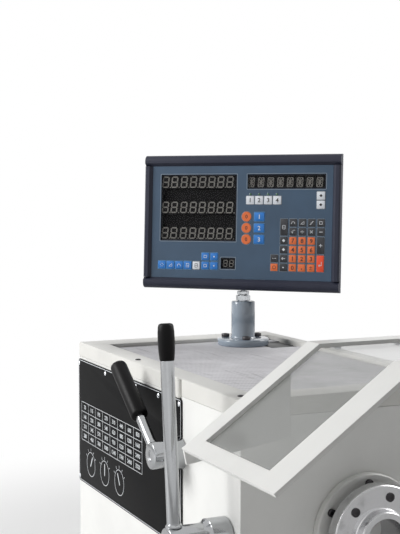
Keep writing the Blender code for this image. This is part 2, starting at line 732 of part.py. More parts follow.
def web_paths():
    """Where each group's web runs, as chains of (x, z) points behind the overlay."""
    left = PAD_X - PAD_PITCH_X
    right = PAD_X + 3 * PAD_PITCH_X
    clear = PAD_X - 2 * PAD_PITCH_X
    row = [PAD_Z + PAD_PITCH_Z * i for i in range(6)]
    digits = [[(PAD_X + PAD_PITCH_X * i, row[0]), (PAD_X + PAD_PITCH_X * i, row[3])] for i in range(3)]
    below = row[0] - KEY / 2 - KEY_CLEAR - KEY_WEB_WIDTH / 2
    digits += [[(PAD_X, row[1]), (PAD_X + 2 * PAD_PITCH_X, row[1])],
               [(clear, row[0]), (clear, below), (PAD_X, below), (PAD_X, row[0])]]
    operators = [[(left, row[0]), (left, row[5])], [(clear, row[1]), (left, row[1])],
                 [(left, row[4]), (right, row[4]), (right, row[2])]]
    operators += [[(PAD_X + PAD_PITCH_X * i, row[4]), (PAD_X + PAD_PITCH_X * i, row[5])] for i in range(4)]
    arrows = [[(MENU_X, MENU_Z), (ARROW_X, MENU_Z)], [(ARROW_X, ARROW_Z), (ARROW_X, ARROW_Z - ARROW_PITCH)]]
    selects = [[(SELECT_KEY_X, AXIS_KEY_Z), (SELECT_KEY_X, AXIS_KEY_Z - 2 * AXIS_KEY_PITCH)]]
    rounds = [[(AXIS_KEY_X, AXIS_KEY_Z), (AXIS_KEY_X, AXIS_KEY_Z - 2 * AXIS_KEY_PITCH)]]
    fourth = FUNCTION_X + 3 * FUNCTION_PITCH
    under = FUNCTION_Z - FUNCTION_KEY[1] / 2 - KEY_CLEAR - KEY_WEB_WIDTH / 2
    last = STACK_X + FUNCTION_PITCH
    functions = [[(FUNCTION_X, FUNCTION_Z), (fourth, FUNCTION_Z), (fourth, under), (STACK_X, under),
                  (STACK_X, STACK_Z), (last, STACK_Z), (last, FUNCTION_Z)]]
    return {"digit_keys": digits, "operator_keys": operators, "enter_key": [], "menu_keys": arrows,
            "axis_select_keys": selects, "function_keys": functions, "inch_metric_key": [],
            "axis_zero_keys": rounds}


def key_group(name, build, finish_of_group, parent):
    """A group of keys, joined behind the overlay by its web and by a seat under each key."""
    thing = solid(name, build, finish_of_group, parent)
    paths = web_paths()[name]
    if paths:
        def web(m):
            for path in paths:
                for start, end in zip(path, path[1:]):
                    add_web(m, start, end)
        join(thing, web, parent)


def keys(finishes, parent):
    for name, group in square_groups().items():
        def build(m, group=group):
            for x, z, width, height in group:
                add_key(m, x, z, width, height)
        key_group(name, build, finishes[name], parent)

    def round_build(m):
        radius = AXIS_KEY_RADIUS
        edge = 0.0004
        depth = WEB_FRONT + KEY_WEB / 2 - KEY_FRONT
        profile = [(0, 0), (radius - edge, 0), (radius, edge), (radius, depth), (0, depth)]
        for x, z in round_keys():
            add_turned(m, profile, MEDIUM, facing((x, KEY_FRONT, z), (0, 1, 0)))
    key_group("axis_zero_keys", round_build, finishes["axis_zero_keys"], parent)


def overlay(material, parent):
    play = GAP
    thing = solid("keypad_overlay", lambda m: add_box(
        m, (-PANEL_HALF_X + play, PANEL_Y, -PANEL_HALF_Z + play),
        (PANEL_HALF_X - play, PANEL_Y + OVERLAY_THICK, PANEL_HALF_Z - play)), material, parent)

    def holes(m):
        for group in square_groups().values():
            for x, z, width, height in group:
                size = (width + 2 * KEY_CLEAR, 4 * OVERLAY_THICK, height + 2 * KEY_CLEAR)
                add_block(m, (x, PANEL_Y, z), size)
        for x, z in round_keys():
            frame = facing((x, PANEL_Y - OVERLAY_THICK, z), (0, 1, 0))
            add_turned(m, rod(AXIS_KEY_RADIUS + KEY_CLEAR, 3 * OVERLAY_THICK), MEDIUM, frame)
        for x, z, width, height in (AXIS_WINDOW, MESSAGE_WINDOW, FUNCTION_WINDOW):
            add_block(m, (x, PANEL_Y, z), (width + 2 * GAP, 4 * OVERLAY_THICK, height + 2 * GAP))
    cut(thing, holes, parent)
    return thing


def front_plate(material, parent):
    thing = solid("front_plate", lambda m: add_box(
        m, (-PANEL_HALF_X + GAP, PLATE_Y, -PANEL_HALF_Z + GAP),
        (PANEL_HALF_X - GAP, PLATE_Y + PLATE_THICK, PANEL_HALF_Z - GAP)), material, parent)

    def studs(m):
        for x, z in corners(PANEL_HALF_X, PANEL_HALF_Z, 0.0065):
            reach = DISPLAY_BOARD_Y - PLATE_Y - PLATE_THICK / 2 - GAP
            add_turned(m, rod(0.0030, reach), COARSE, facing((x, PLATE_Y + PLATE_THICK / 2, z), (0, 1, 0)))
    join(thing, studs, parent)

    def holes(m):
        for x, z, width, height in (AXIS_WINDOW, MESSAGE_WINDOW, FUNCTION_WINDOW):
            size = (width - 2 * WINDOW_LEDGE, 4 * PLATE_THICK, height - 2 * WINDOW_LEDGE)
            add_block(m, (x, PLATE_Y, z), size)
    cut(thing, holes, parent)
    return thing


def windows(material, parent):
    front, back = PANEL_Y + GAP / 2, PLATE_Y - GAP
    for name, (x, z, width, height) in (("axis_window", AXIS_WINDOW), ("message_window", MESSAGE_WINDOW),
                                        ("function_window", FUNCTION_WINDOW)):
        solid(name, lambda m, x=x, z=z, w=width, h=height: add_block(
            m, (x, (front + back) / 2, z), (w, back - front, h)), material, parent)


def digit_modules(material, parent):
    """One block for each digit, on a common carrier: three rows of eight, a message row and a pair."""
    front = PLATE_Y + GAP
    carrier = DISPLAY_BOARD_Y - GAP - DIGIT_CARRIER

    def row(m, x, z, count, pitch, height):
        for i in range(count):
            centre = (x + pitch * (i - (count - 1) / 2), (front + carrier + GAP) / 2, z)
            add_block(m, centre, (pitch - 2 * GAP, carrier + GAP - front, height))

    def build(m):
        for step in (-1, 0, 1):
            row(m, AXIS_WINDOW[0], AXIS_WINDOW[1] - DIGIT_ROW_PITCH * step, 8, 0.0138, 0.0176)
        row(m, MESSAGE_WINDOW[0], MESSAGE_WINDOW[1], 8, 0.0135, 0.0150)
        row(m, FUNCTION_WINDOW[0], FUNCTION_WINDOW[1], 2, 0.0086, 0.0118)
    thing = solid("digit_modules", build, material, parent)

    def base(m):
        left = AXIS_WINDOW[0] - AXIS_WINDOW[2] / 2
        right = MESSAGE_WINDOW[0] + MESSAGE_WINDOW[2] / 2
        top = AXIS_WINDOW[1] + AXIS_WINDOW[3] / 2
        bottom = FUNCTION_WINDOW[1] - FUNCTION_WINDOW[3] / 2
        add_box(m, (left, carrier, bottom), (right, carrier + DIGIT_CARRIER, top))
    join(thing, base, parent)


def boards(board_finish, supply_finish, parent):
    half_x, half_z = PANEL_HALF_X - DISPLAY_BOARD_INSET, PANEL_HALF_Z - DISPLAY_BOARD_INSET
    solid("display_board", lambda m: add_box(
        m, (-half_x, DISPLAY_BOARD_Y, -half_z), (half_x, DISPLAY_BOARD_Y + BOARD_THICK, half_z)),
        board_finish, parent)
    main = solid("main_board", lambda m: add_box(
        m, (-BOARD_HALF[0], MAIN_BOARD_Y, -BOARD_HALF[1]),
        (BOARD_HALF[0], MAIN_BOARD_Y + BOARD_THICK, BOARD_HALF[1])), board_finish, parent)

    def chips(m):
        for x, z, width, height, rise in MAIN_CHIPS:
            add_block(m, (x, MAIN_BOARD_Y + 0.0005 - rise / 2, z), (width, rise + 0.001, height))
    join(main, chips, parent)
    back = CONSOLE_DEPTH - SHELL_WALL - GAP
    solid("power_supply", lambda m: add_box(m, (-0.060, back - 0.020, -0.045), (0.050, back, 0.018)),
          supply_finish, parent)


def rear_sockets(connector_finish, inlet_finish, rocker_finish, parent):
    wall = CONSOLE_DEPTH
    flange = 0.0012

    def strip(m):
        middle = (CONNECTOR_XS[0] + CONNECTOR_XS[-1]) / 2
        length = CONNECTOR_XS[-1] - CONNECTOR_XS[0] + CONNECTOR[0] + 0.010
        add_block(m, (middle, wall + GAP + flange / 2, CONNECTOR_Z), (length, flange, CONNECTOR[1] + 0.006))
    connectors = solid("rear_connectors", strip, connector_finish, parent)

    def bodies(m):
        for x in CONNECTOR_XS:
            width, height = CONNECTOR
            front, back = wall - 0.008, wall + flange + 0.0045
            add_block(m, (x, (front + back) / 2, CONNECTOR_Z), (width, back - front, height))
    join(connectors, bodies, parent)

    def sockets(m):
        for x in CONNECTOR_XS:
            width, height = CONNECTOR
            add_block(m, (x, wall + 0.006, CONNECTOR_Z), (width - 0.0016, 0.008, height - 0.0016))
    cut(connectors, sockets, parent)

    inlet = solid("mains_inlet", lambda m: add_block(
        m, (INLET_X, wall + GAP + flange, INLET_Z), (INLET[0] + 0.006, 2 * flange, INLET[1] + 0.006)),
        inlet_finish, parent)
    join(inlet, lambda m: add_block(m, (INLET_X, wall - 0.008, INLET_Z), (INLET[0], 0.018, INLET[1])), parent)
    cut(inlet, lambda m: add_block(
        m, (INLET_X, wall - 0.004, INLET_Z), (INLET[0] - 0.004, 0.020, INLET[1] - 0.004)), parent)

    def pins(m):
        for x, z in ((-0.007, 0.002), (0, -0.002), (0.007, 0.002)):
            add_block(m, (INLET_X + x, wall - 0.0085, INLET_Z + z), (0.002, 0.013, 0.004))
    join(inlet, pins, parent)

    pivot = empty("rocker_pivot", (ROCKER_X, wall - 0.001, INLET_Z), parent)
    width, height = ROCKER
    profile = [(-0.004, -height / 2), (-0.004, height / 2), (0.0035, height / 2), (0.0022, 0),
               (0.0055, -height / 2)]
    solid("power_rocker", lambda m: add_prism(
        m, profile, -width / 2, width / 2, "X"), rocker_finish, pivot)


def swivel_bracket(material, parent):
    """The plate inside the case that the stud screws into."""
    floor = -(CONSOLE_HEIGHT / 2 - LIP - GAP - SHELL_WALL) + GAP
    width, height = 0.060, 0.010
    return solid("swivel_bracket", lambda m: add_block(
        m, (0, RIDGE_TO_POST, floor + height / 2), (width, BRACKET_DEPTH, height)), material, parent)


def stud_hole(thing, swivel):
    """A hole round the stud, upright as the stud is, through a piece that leans back."""
    reach = CONSOLE_GAP + 0.030
    cut(thing, lambda m: add_turned(m, rod(STUD_RADIUS + FIT, reach), COARSE), swivel)


def console(swivel, finishes):
    body = empty("console_tilt", (0, 0, 0), swivel)
    body.rotation_euler = (CONSOLE_TILT, 0, CONSOLE_TURN)
    underside = Vector((0, RIDGE_TO_POST, -CONSOLE_HEIGHT / 2))
    body.location = Vector((0, 0, CONSOLE_GAP)) - body.rotation_euler.to_matrix() @ underside
    half_x = CONSOLE_WIDTH / 2
    top = solid("frame_top_rail", lambda m: add_prism(
        m, rail_profile(1), -half_x, half_x, "X"), finishes["frame"], body)
    bottom = solid("frame_bottom_rail", lambda m: add_prism(
        m, rail_profile(-1), -half_x, half_x, "X"), finishes["frame"], body)
    for rail in (top, bottom):
        cut(rail, rail_ends, body)
    cheek("frame_left_cheek", -1, finishes["frame"], body)
    cheek("frame_right_cheek", 1, finishes["frame"], body)
    shell = case_shell(finishes["shell"], body)
    overlay(finishes["panel"], body)
    front_plate(finishes["shell"], body)
    windows(finishes["window"], body)
    digit_modules(finishes["digits"], body)
    keys(finishes, body)
    boards(finishes["board"], finishes["supply"], body)
    rear_sockets(finishes["supply"], finishes["socket"], finishes["socket"], body)
    bracket = swivel_bracket(finishes["supply"], body)
    for thing in (bottom, shell, bracket):
        stud_hole(thing, swivel)


# ---------------------------------------------------------------- levers

def lever(name, hub, lean, plane, hub_radius, rod_radius, grip_start, finishes):
    """A hub and rod that swing about Y. Returns the empty on the pivot and the lean frame."""
    pivot = empty(name + "_pivot", (hub[0], FRONT, hub[1]))
    lean_frame = Matrix.Rotation(-lean, 4, "Y")
    thickness = plane + hub_radius * 0.45

    hub_piece = solid(name + "_hub", lambda m: add_turned(m, [
        (0, GAP), (hub_radius, GAP), (hub_radius, thickness * 0.35), (hub_radius * 0.82, thickness * 0.45),
        (hub_radius * 0.82, thickness - 0.002), (hub_radius * 0.82 - 0.002, thickness), (0, thickness)],
        MEDIUM, facing((0, 0, 0), (0, -1, 0))), finishes["hub"], pivot)
    inward = WALL + ARM_INSET + ARM_THICK + 0.006
    join(hub_piece, lambda m: add_turned(
        m, rod(LEVER_SHAFT_RADIUS, inward + 0.004), COARSE, facing((0, -0.004, 0), (0, 1, 0))), pivot)
    socket_depth = 0.006
    rod_start = hub_radius * 0.82 - socket_depth
    rod_frame = lean_frame @ Matrix.Translation((0, -plane, 0))
    cut(hub_piece, lambda m: add_turned(
        m, [(0, rod_start - GAP), (rod_radius + GAP, rod_start - GAP), (rod_radius + GAP, hub_radius * 2),
            (0, hub_radius * 2)], COARSE, rod_frame), pivot)
    rod_end = grip_start + 0.020
    solid(name + "_rod", lambda m: add_turned(
        m, [(0, rod_start), (rod_radius, rod_start), (rod_radius, grip_start - GAP),
            (rod_radius * 0.6, grip_start - GAP), (rod_radius * 0.6, rod_end), (0, rod_end)],
        COARSE, rod_frame), finishes["rod"], pivot)
    return pivot, rod_frame


def grip(name, profile, bore_radius, start, frame, material, pivot):
    """A turned grip with a blind bore for the end of its rod."""
    thing = solid(name, lambda m: add_turned(
        m, [(r, start + z) for r, z in profile], MEDIUM, frame), material, pivot)
    cut(thing, lambda m: add_turned(
        m, [(0, start - 0.004), (bore_radius + GAP, start - 0.004), (bore_radius + GAP, start + 0.020 + GAP),
            (0, start + 0.020 + GAP)], COARSE, frame), pivot)


def selector_arm(name, hub, angle, material, pivot):
    """The arm on a lever's inner end, with a pad that stands towards the gears."""
    back = WALL + ARM_INSET
    length = ARM_LENGTH
    width = LEVER_SHAFT_RADIUS + 0.005
    frame = Matrix.Rotation(angle, 4, "Y")

    def build(m):
        outline = [(-width * 0.7, -width), (length, -width * 0.6),
                   (length, width * 0.6), (-width * 0.7, width)]
        add_prism(m, outline, back, back + ARM_THICK, "Y")
    thing = solid(name, build, material, pivot)
    thing.matrix_local = frame
    tip = frame @ Vector((length - 0.009, back + ARM_THICK / 2, 0))
    join(thing, lambda m: add_turned(m, rod(0.006, 0.016), COARSE, facing(tip, (0, 1, 0))), pivot)
    bore_frame = facing((0, back - ARM_THICK, 0), (0, 1, 0))
    cut(thing, lambda m: add_turned(
        m, rod(LEVER_SHAFT_RADIUS + FIT, 3 * ARM_THICK), COARSE, bore_frame), pivot)


def levers(finishes):
    pivot, frame = lever("speed_lever", SPEED_HUB, SPEED_LEAN, SPEED_PLANE, SPEED_HUB_RADIUS,
                         SPEED_ROD_RADIUS, SPEED_GRIP_START, finishes)
    length = SPEED_GRIP_LENGTH
    profile = [(0, 0), (0.0073, 0), (0.0079, 0.002), (0.0090, length * 0.55), (0.0082, length - 0.003),
               (0.0072, length - 0.0008), (0.0062, length), (0, length)]
    grip("speed_lever_grip", profile, SPEED_ROD_RADIUS * 0.6, SPEED_GRIP_START, frame,
         finishes["grip"], pivot)
    selector_arm("speed_selector_arm", SPEED_HUB, radians(130), finishes["hub"], pivot)

    pivot, frame = lever("range_lever", RANGE_HUB, RANGE_LEAN, RANGE_PLANE, RANGE_HUB_RADIUS,
                         RANGE_ROD_RADIUS, RANGE_GRIP_START, finishes)
    radius, length = RANGE_GRIP_RADIUS, RANGE_GRIP_LENGTH
    profile = [(0, 0), (radius - 0.001, 0), (radius, 0.001), (radius, length - 0.001),
               (radius - 0.001, length), (0, length)]
    grip("range_lever_grip", profile, RANGE_ROD_RADIUS * 0.6, RANGE_GRIP_START, frame,
         finishes["grip"], pivot)
    selector_arm("range_selector_arm", RANGE_HUB, radians(80), finishes["hub"], pivot)


# ---------------------------------------------------------------- gear train

def gear_outline(teeth, turn):
    """Trapezoid teeth, slightly thinner than their gaps, so that a meshed pair runs free."""
    pitch_radius = MODULE * teeth / 2
    tip, root = pitch_radius + 0.85 * MODULE, pitch_radius - 1.15 * MODULE
    step = 2 * pi / teeth
    points = []
    for i in range(teeth):
        middle = turn + i * step
        for radius, share in ((root, -0.32), (tip, -0.12), (tip, 0.12), (root, 0.32)):
            points.append((radius * cos(middle + share * step), radius * sin(middle + share * step)))
    return points


def add_gear(m, teeth, at, turn, x):
    outline = [(at.y + a, at.z + b) for a, b in gear_outline(teeth, turn)]
    add_prism(m, outline, x - GEAR_FACE / 2, x + GEAR_FACE / 2, "X")


def mesh_turn(followed_turn, angle, followed_teeth, teeth):
    """Turn of a gear that puts a gap where the followed gear has a tooth, along the centre line."""
    offset = ((angle - followed_turn) / (2 * pi / followed_teeth)) % 1.0
    return angle + pi - (2 * pi / teeth) * (0.5 - offset)


def gear_shaft_bore(thing, at, radius, x):
    cut(thing, lambda m: add_turned(
        m, rod(radius + GAP, 3 * GEAR_FACE), FINE, facing((x - 1.5 * GEAR_FACE, at.y, at.z), (1, 0, 0))))


def gears(finishes):
    spindle_gear = solid("spindle_gear", lambda m: add_gear(
        m, SPINDLE_TEETH, SPINDLE_AT, 0.0, HIGH_GEARS_X), finishes["gear"])
    gear_shaft_bore(spindle_gear, SPINDLE_AT, SPINDLE_RADIUS, HIGH_GEARS_X)
    small_turn = mesh_turn(0.0, COUNTER_ANGLE, SPINDLE_TEETH, COUNTER_SMALL_TEETH)
    cluster = solid("countershaft_gears", lambda m: (
        add_gear(m, COUNTER_SMALL_TEETH, COUNTER_AT, small_turn, HIGH_GEARS_X),
        add_gear(m, COUNTER_LARGE_TEETH, COUNTER_AT, 0.0, LOW_GEARS_X)), finishes["gear"])
    join(cluster, lambda m: add_turned(
        m, rod(SHAFT_RADIUS + 0.007, HIGH_GEARS_X - LOW_GEARS_X), MEDIUM,
        facing((LOW_GEARS_X, COUNTER_AT.y, COUNTER_AT.z), (1, 0, 0))))
    cut(cluster, lambda m: add_turned(
        m, rod(SHAFT_RADIUS + GAP, HEAD_LENGTH), FINE, facing((LEFT, COUNTER_AT.y, COUNTER_AT.z), (1, 0, 0))))
    input_turn = mesh_turn(0.0, INPUT_ANGLE, COUNTER_LARGE_TEETH, INPUT_TEETH)
    input_gear = solid("input_gear", lambda m: add_gear(
        m, INPUT_TEETH, INPUT_AT, input_turn, LOW_GEARS_X), finishes["gear"])
    gear_shaft_bore(input_gear, INPUT_AT, SHAFT_RADIUS, LOW_GEARS_X)


def shafts(finishes):
    tail = LEFT - SPINDLE_TAIL
    nose = RIGHT + NOSE_START
    spindle_length = nose + NOSE_THICK + REGISTER_LENGTH - tail
    flange_at = nose - tail
    solid("spindle", lambda m: add_turned(m, [
        (SPINDLE_BORE, 0), (SPINDLE_RADIUS, 0), (SPINDLE_RADIUS, flange_at), (NOSE_RADIUS, flange_at),
        (NOSE_RADIUS, flange_at + NOSE_THICK), (REGISTER_RADIUS, flange_at + NOSE_THICK),
        (REGISTER_RADIUS - 0.001, spindle_length), (SPINDLE_BORE, spindle_length)],
        FINE, facing((tail, SPINDLE_AT.y, SPINDLE_AT.z), (1, 0, 0)), closed_loop=True), finishes["steel"])
    solid("spindle_nut", lambda m: add_turned(
        m, ring(NUT_RADIUS, SPINDLE_RADIUS + GAP, 0.014), FINE,
        facing((LEFT - 0.0165, SPINDLE_AT.y, SPINDLE_AT.z), (1, 0, 0)), closed_loop=True), finishes["hub"])
    inside = HEAD_LENGTH - 2 * SHAFT_INSET
    start = LEFT + SHAFT_INSET
    solid("countershaft", lambda m: add_turned(
        m, rod(SHAFT_RADIUS, inside), MEDIUM, facing((start, COUNTER_AT.y, COUNTER_AT.z), (1, 0, 0))),
        finishes["steel"])
    overhang = PULLEY_WIDTH + PULLEY_GAP + 0.006
    solid("input_shaft", lambda m: add_turned(
        m, rod(SHAFT_RADIUS, RIGHT - SHAFT_INSET - LEFT + overhang), MEDIUM,
        facing((LEFT - overhang, INPUT_AT.y, INPUT_AT.z), (1, 0, 0))), finishes["steel"])
    groove = PULLEY_WIDTH / 2
    rim, root = PULLEY_RADIUS, PULLEY_RADIUS - 0.010
    profile = [(SHAFT_RADIUS + GAP, 0), (rim, 0)]
    for start in (0, groove):
        profile += [(rim, start + 0.002), (root, start + 0.006), (root, start + groove - 0.006),
                    (rim, start + groove - 0.002)]
    profile += [(rim, PULLEY_WIDTH), (SHAFT_RADIUS + GAP, PULLEY_WIDTH)]
    solid("input_pulley", lambda m: add_turned(
        m, profile, FINE, facing((LEFT - PULLEY_GAP - PULLEY_WIDTH, INPUT_AT.y, INPUT_AT.z), (1, 0, 0)),
        closed_loop=True), finishes["hub"])

    length = WALL + BOSS_WALL - 2 * BEARING_INSET
    starts = {"spindle_bearing_rear": LEFT + BEARING_INSET,
              "spindle_bearing_front": RIGHT - BEARING_INSET - length}
    for name, start in starts.items():
        profile = ring(SPINDLE_RADIUS + BEARING_RING, SPINDLE_RADIUS + GAP, length)
        solid(name, lambda m, start=start, profile=profile: add_turned(
            m, profile, FINE, facing((start, SPINDLE_AT.y, SPINDLE_AT.z), (1, 0, 0)), closed_loop=True),
            finishes["steel"])


# ---------------------------------------------------------------- chuck guard

def offset_path(path, distance):
    """The same bent path moved sideways by a distance, with its bend kept sharp."""
    first, bend, last = [Vector(point) for point in path]
    before, after = (bend - first).normalized(), (last - bend).normalized()
    normal_before = Vector((before.y, -before.x))
    normal_after = Vector((after.y, -after.x))
    half = (normal_before + normal_after).normalized()
    reach = distance / half.dot(normal_before)
    return [tuple(first + normal_before * distance), tuple(bend + half * reach),
            tuple(last + normal_after * distance)]


def guard_outline(path, outer, inner):
    """A bent strip between two offsets below the guard's outer profile."""
    return offset_path(path, outer) + offset_path(path, inner)[::-1]


def guard(finishes):
    pivot = empty("guard_pivot", (0, HINGE_Y, HINGE_Z))
    lip, bend = GUARD_LIP, GUARD_BEND
    top_end = (0.0, HINGE_EYE)
    path = (lip, bend, top_end)
    strip = guard_outline(path, 0.0, GUARD_METAL)
    frame = solid("guard_frame", lambda m: add_prism(
        m, strip, GUARD_START, GUARD_START + GUARD_LEFT_STRIP, "X"), finishes["guard"], pivot)
    join(frame, lambda m: add_prism(m, strip, GUARD_END - GUARD_RIGHT_STRIP, GUARD_END, "X"), pivot)
    direction = (Vector(bend) - Vector(lip)).normalized()
    edge = Vector(lip) + direction * 0.018
    crossbar = guard_outline((lip, tuple((Vector(lip) + edge) / 2), tuple(edge)), 0.0, GUARD_METAL)
    join(frame, lambda m: add_prism(m, crossbar, GUARD_START + 0.004, GUARD_END - 0.004, "X"), pivot)
    below = guard_outline(path, GUARD_METAL * 0.5, GUARD_METAL * 0.5 + 0.001)[:2]
    corner = Vector(below[0]).lerp(Vector(below[1]), GUARD_WEB_SHARE)
    side = [tuple(below[0]), tuple(corner), (corner.x, corner.y - GUARD_WEB_DROP),
            (lip[0] + 0.004, lip[1] - 0.016)]
    join(frame, lambda m: add_prism(m, side[::-1], GUARD_START + 0.0005, GUARD_START + 0.0035, "X"), pivot)

    def eyes(m):
        for start, end in ((GUARD_START + 0.001, GUARD_START + GUARD_LEFT_STRIP - 0.001),
                           (GUARD_END - GUARD_RIGHT_STRIP + 0.001, GUARD_END - 0.001)):
            add_turned(m, rod(HINGE_EYE, end - start), MEDIUM, facing((start, 0, 0), (1, 0, 0)))
    join(frame, eyes, pivot)
    cut(frame, lambda m: add_turned(
        m, rod(HINGE_ROD_RADIUS + FIT, GUARD_END + 0.1), MEDIUM, facing((0.1, 0, 0), (1, 0, 0))), pivot)

    margin = 0.004
    sheet_end = (-HINGE_EYE - 0.004, top_end[1] - (HINGE_EYE + 0.004) * (top_end[1] - bend[1]) / -bend[0])
    sheet_path = (tuple(Vector(lip) + direction * 0.004), bend, sheet_end)
    sheet = guard_outline(sheet_path, GUARD_METAL + GAP, GUARD_METAL + GAP + GUARD_SHEET)
    solid("guard_window", lambda m: add_prism(
        m, sheet, GUARD_START + margin, GUARD_END - margin, "X"), finishes["clear"], pivot)

    solid("guard_hinge_rod", lambda m: add_turned(
        m, rod(HINGE_ROD_RADIUS, GUARD_END + 0.006 - (RIGHT - RIM_RIGHT + 0.004)), COARSE,
        facing((RIGHT - RIM_RIGHT + 0.004, HINGE_Y, HINGE_Z), (1, 0, 0))), finishes["steel"])

    low_x, high_x = RIGHT - RIM_RIGHT + 0.003, RIGHT - 0.003
    base = HEAD_TOP + GAP
    bracket = solid("guard_bracket", lambda m: add_box(
        m, (low_x, HINGE_Y - BRACKET_HALF, base), (high_x, HINGE_Y + BRACKET_HALF, base + 0.008)),
        finishes["guard"])
    join(bracket, lambda m: add_prism(
        m, upright(base + 0.004), low_x + 0.005, high_x - 0.005, "X"))

    rod_frame = facing((low_x - 0.01, HINGE_Y, HINGE_Z), (1, 0, 0))
    cut(bracket, lambda m: add_turned(m, rod(HINGE_ROD_RADIUS + GAP, 2 * RIM_RIGHT), COARSE, rod_frame))


def upright(base):
    """Side outline of the guard bracket's web, with a round head at the hinge."""
    radius = HINGE_EYE + 0.0025
    steps = 8
    head = [(HINGE_Y + radius * cos(pi * i / steps), HINGE_Z + radius * sin(pi * i / steps))
            for i in range(steps + 1)]
    foot = BRACKET_HALF * 0.42
    return [(HINGE_Y - foot, base), (HINGE_Y + foot, base)] + head


# ---------------------------------------------------------------- assembly

def finishes():
    white = paint("white_enamel", (0.88, 0.88, 0.86), 0.35)
    orange = paint("orange_key", (0.75, 0.16, 0.05), 0.5)
    black = paint("black_key", (0.012, 0.014, 0.02), 0.45)
    blue = paint("blue_key", (0.025, 0.15, 0.43), 0.45)
    pale = paint("white_key", (0.80, 0.84, 0.88), 0.45)
    red = paint("enter_key", (0.85, 0.08, 0.025), 0.45)
    return {
        "housing": white, "cover": paint("rim_enamel", (0.72, 0.72, 0.70), 0.38), "guard": white,
        "mat": paint("grey_mat", (0.45, 0.43, 0.46), 0.7),
        "label": paint("black_label", (0.011, 0.011, 0.011), 0.4),
        "post": paint("post_enamel", (0.20, 0.26, 0.35), 0.3),
        "black_screw": paint("black_oxide", (0.02, 0.02, 0.02), 0.4, 1.0),
        "nut": paint("zinc", (0.62, 0.66, 0.68), 0.3, 1.0),
        "frame": paint("frame_violet_grey", (0.034, 0.034, 0.052), 0.42),
        "shell": paint("shell_grey", (0.035, 0.036, 0.045), 0.5),
        "panel": paint("panel_blue_grey", (0.052, 0.089, 0.135), 0.45),
        "window": paint("smoked_window", (0.010, 0.010, 0.012), 0.15),
        "digits": paint("digit_block", (0.05, 0.05, 0.055), 0.5),
        "board": paint("board_green", (0.02, 0.14, 0.05), 0.5),
        "supply": paint("supply_steel", (0.55, 0.56, 0.58), 0.35, 1.0),
        "socket": paint("socket_black", (0.015, 0.015, 0.015), 0.5),
        "digit_keys": orange, "axis_zero_keys": orange, "operator_keys": black, "enter_key": red,
        "axis_select_keys": blue, "function_keys": blue, "menu_keys": pale, "inch_metric_key": pale,
        "hub": paint("hub_steel", (0.25, 0.25, 0.26), 0.45, 1.0),
        "rod": paint("chrome", (0.75, 0.76, 0.78), 0.12, 1.0),
        "grip": paint("grip_black", (0.010, 0.010, 0.011), 0.25),
        "gear": paint("gear_steel", (0.42, 0.42, 0.43), 0.35, 1.0),
        "steel": paint("ground_steel", (0.58, 0.58, 0.60), 0.25, 1.0),
        "clear": paint("clear_sheet", (0.80, 0.82, 0.83), 0.08),
    }


def main():
    clear_scene()
    looks = finishes()
    housing(looks["housing"])
    top_cover(looks["cover"])
    cover_mat(looks["mat"])
    label_plate(looks["label"])
    swivel = pedestal(looks["post"], looks["black_screw"], looks["nut"])
    console(swivel, looks)
    levers(looks)
    gears(looks)
    shafts(looks)
    guard(looks)


main()
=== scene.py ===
"""Looks of a lathe headstock with a digital readout console: finishes, fine pieces, stage."""

import json
from math import atan2, cos, pi, radians, sin

import bpy
from bpy.props import FloatProperty, FloatVectorProperty, IntProperty, PointerProperty
from mathutils import Matrix, Vector

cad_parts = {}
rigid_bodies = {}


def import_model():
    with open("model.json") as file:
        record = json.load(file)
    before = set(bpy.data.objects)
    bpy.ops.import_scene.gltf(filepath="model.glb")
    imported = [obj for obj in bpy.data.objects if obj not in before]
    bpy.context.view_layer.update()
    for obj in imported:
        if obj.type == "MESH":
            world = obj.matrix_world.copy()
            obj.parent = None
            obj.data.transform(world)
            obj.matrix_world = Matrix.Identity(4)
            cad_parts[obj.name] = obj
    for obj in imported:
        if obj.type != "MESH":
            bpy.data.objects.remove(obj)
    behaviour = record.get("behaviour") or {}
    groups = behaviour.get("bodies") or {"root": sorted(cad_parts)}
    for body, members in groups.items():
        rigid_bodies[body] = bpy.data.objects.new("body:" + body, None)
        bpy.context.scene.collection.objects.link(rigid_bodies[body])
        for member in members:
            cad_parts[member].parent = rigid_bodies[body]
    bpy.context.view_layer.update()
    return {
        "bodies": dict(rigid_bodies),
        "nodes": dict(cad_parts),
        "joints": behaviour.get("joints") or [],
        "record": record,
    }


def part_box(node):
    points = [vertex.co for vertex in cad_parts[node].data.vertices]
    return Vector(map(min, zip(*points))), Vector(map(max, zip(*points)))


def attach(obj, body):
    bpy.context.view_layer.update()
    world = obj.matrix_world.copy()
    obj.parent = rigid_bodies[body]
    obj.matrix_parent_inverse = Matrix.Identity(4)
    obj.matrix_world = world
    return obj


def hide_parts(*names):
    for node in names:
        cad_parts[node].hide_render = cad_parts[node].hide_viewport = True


bl_info = {
    "name": "Headstock with readout console",
    "version": (1, 0, 0),
    "blender": (4, 5, 0),
    "location": "View3D > Sidebar > Headstock",
    "description": "Adds the finishes and fine pieces of a lathe headstock with a readout console",
    "category": "Add Mesh",
}

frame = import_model()


def span(node):
    """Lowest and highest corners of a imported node, as vectors."""
    low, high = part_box(node)
    return Vector(low), Vector(high)


def anchor(joint):
    """A point on a joint's axis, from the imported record."""
    for entry in frame["record"]["behaviour"]["joints"]:
        if entry["name"] == joint:
            return Vector(entry["pos_m"])
    raise RuntimeError(f"the record has no joint {joint}")


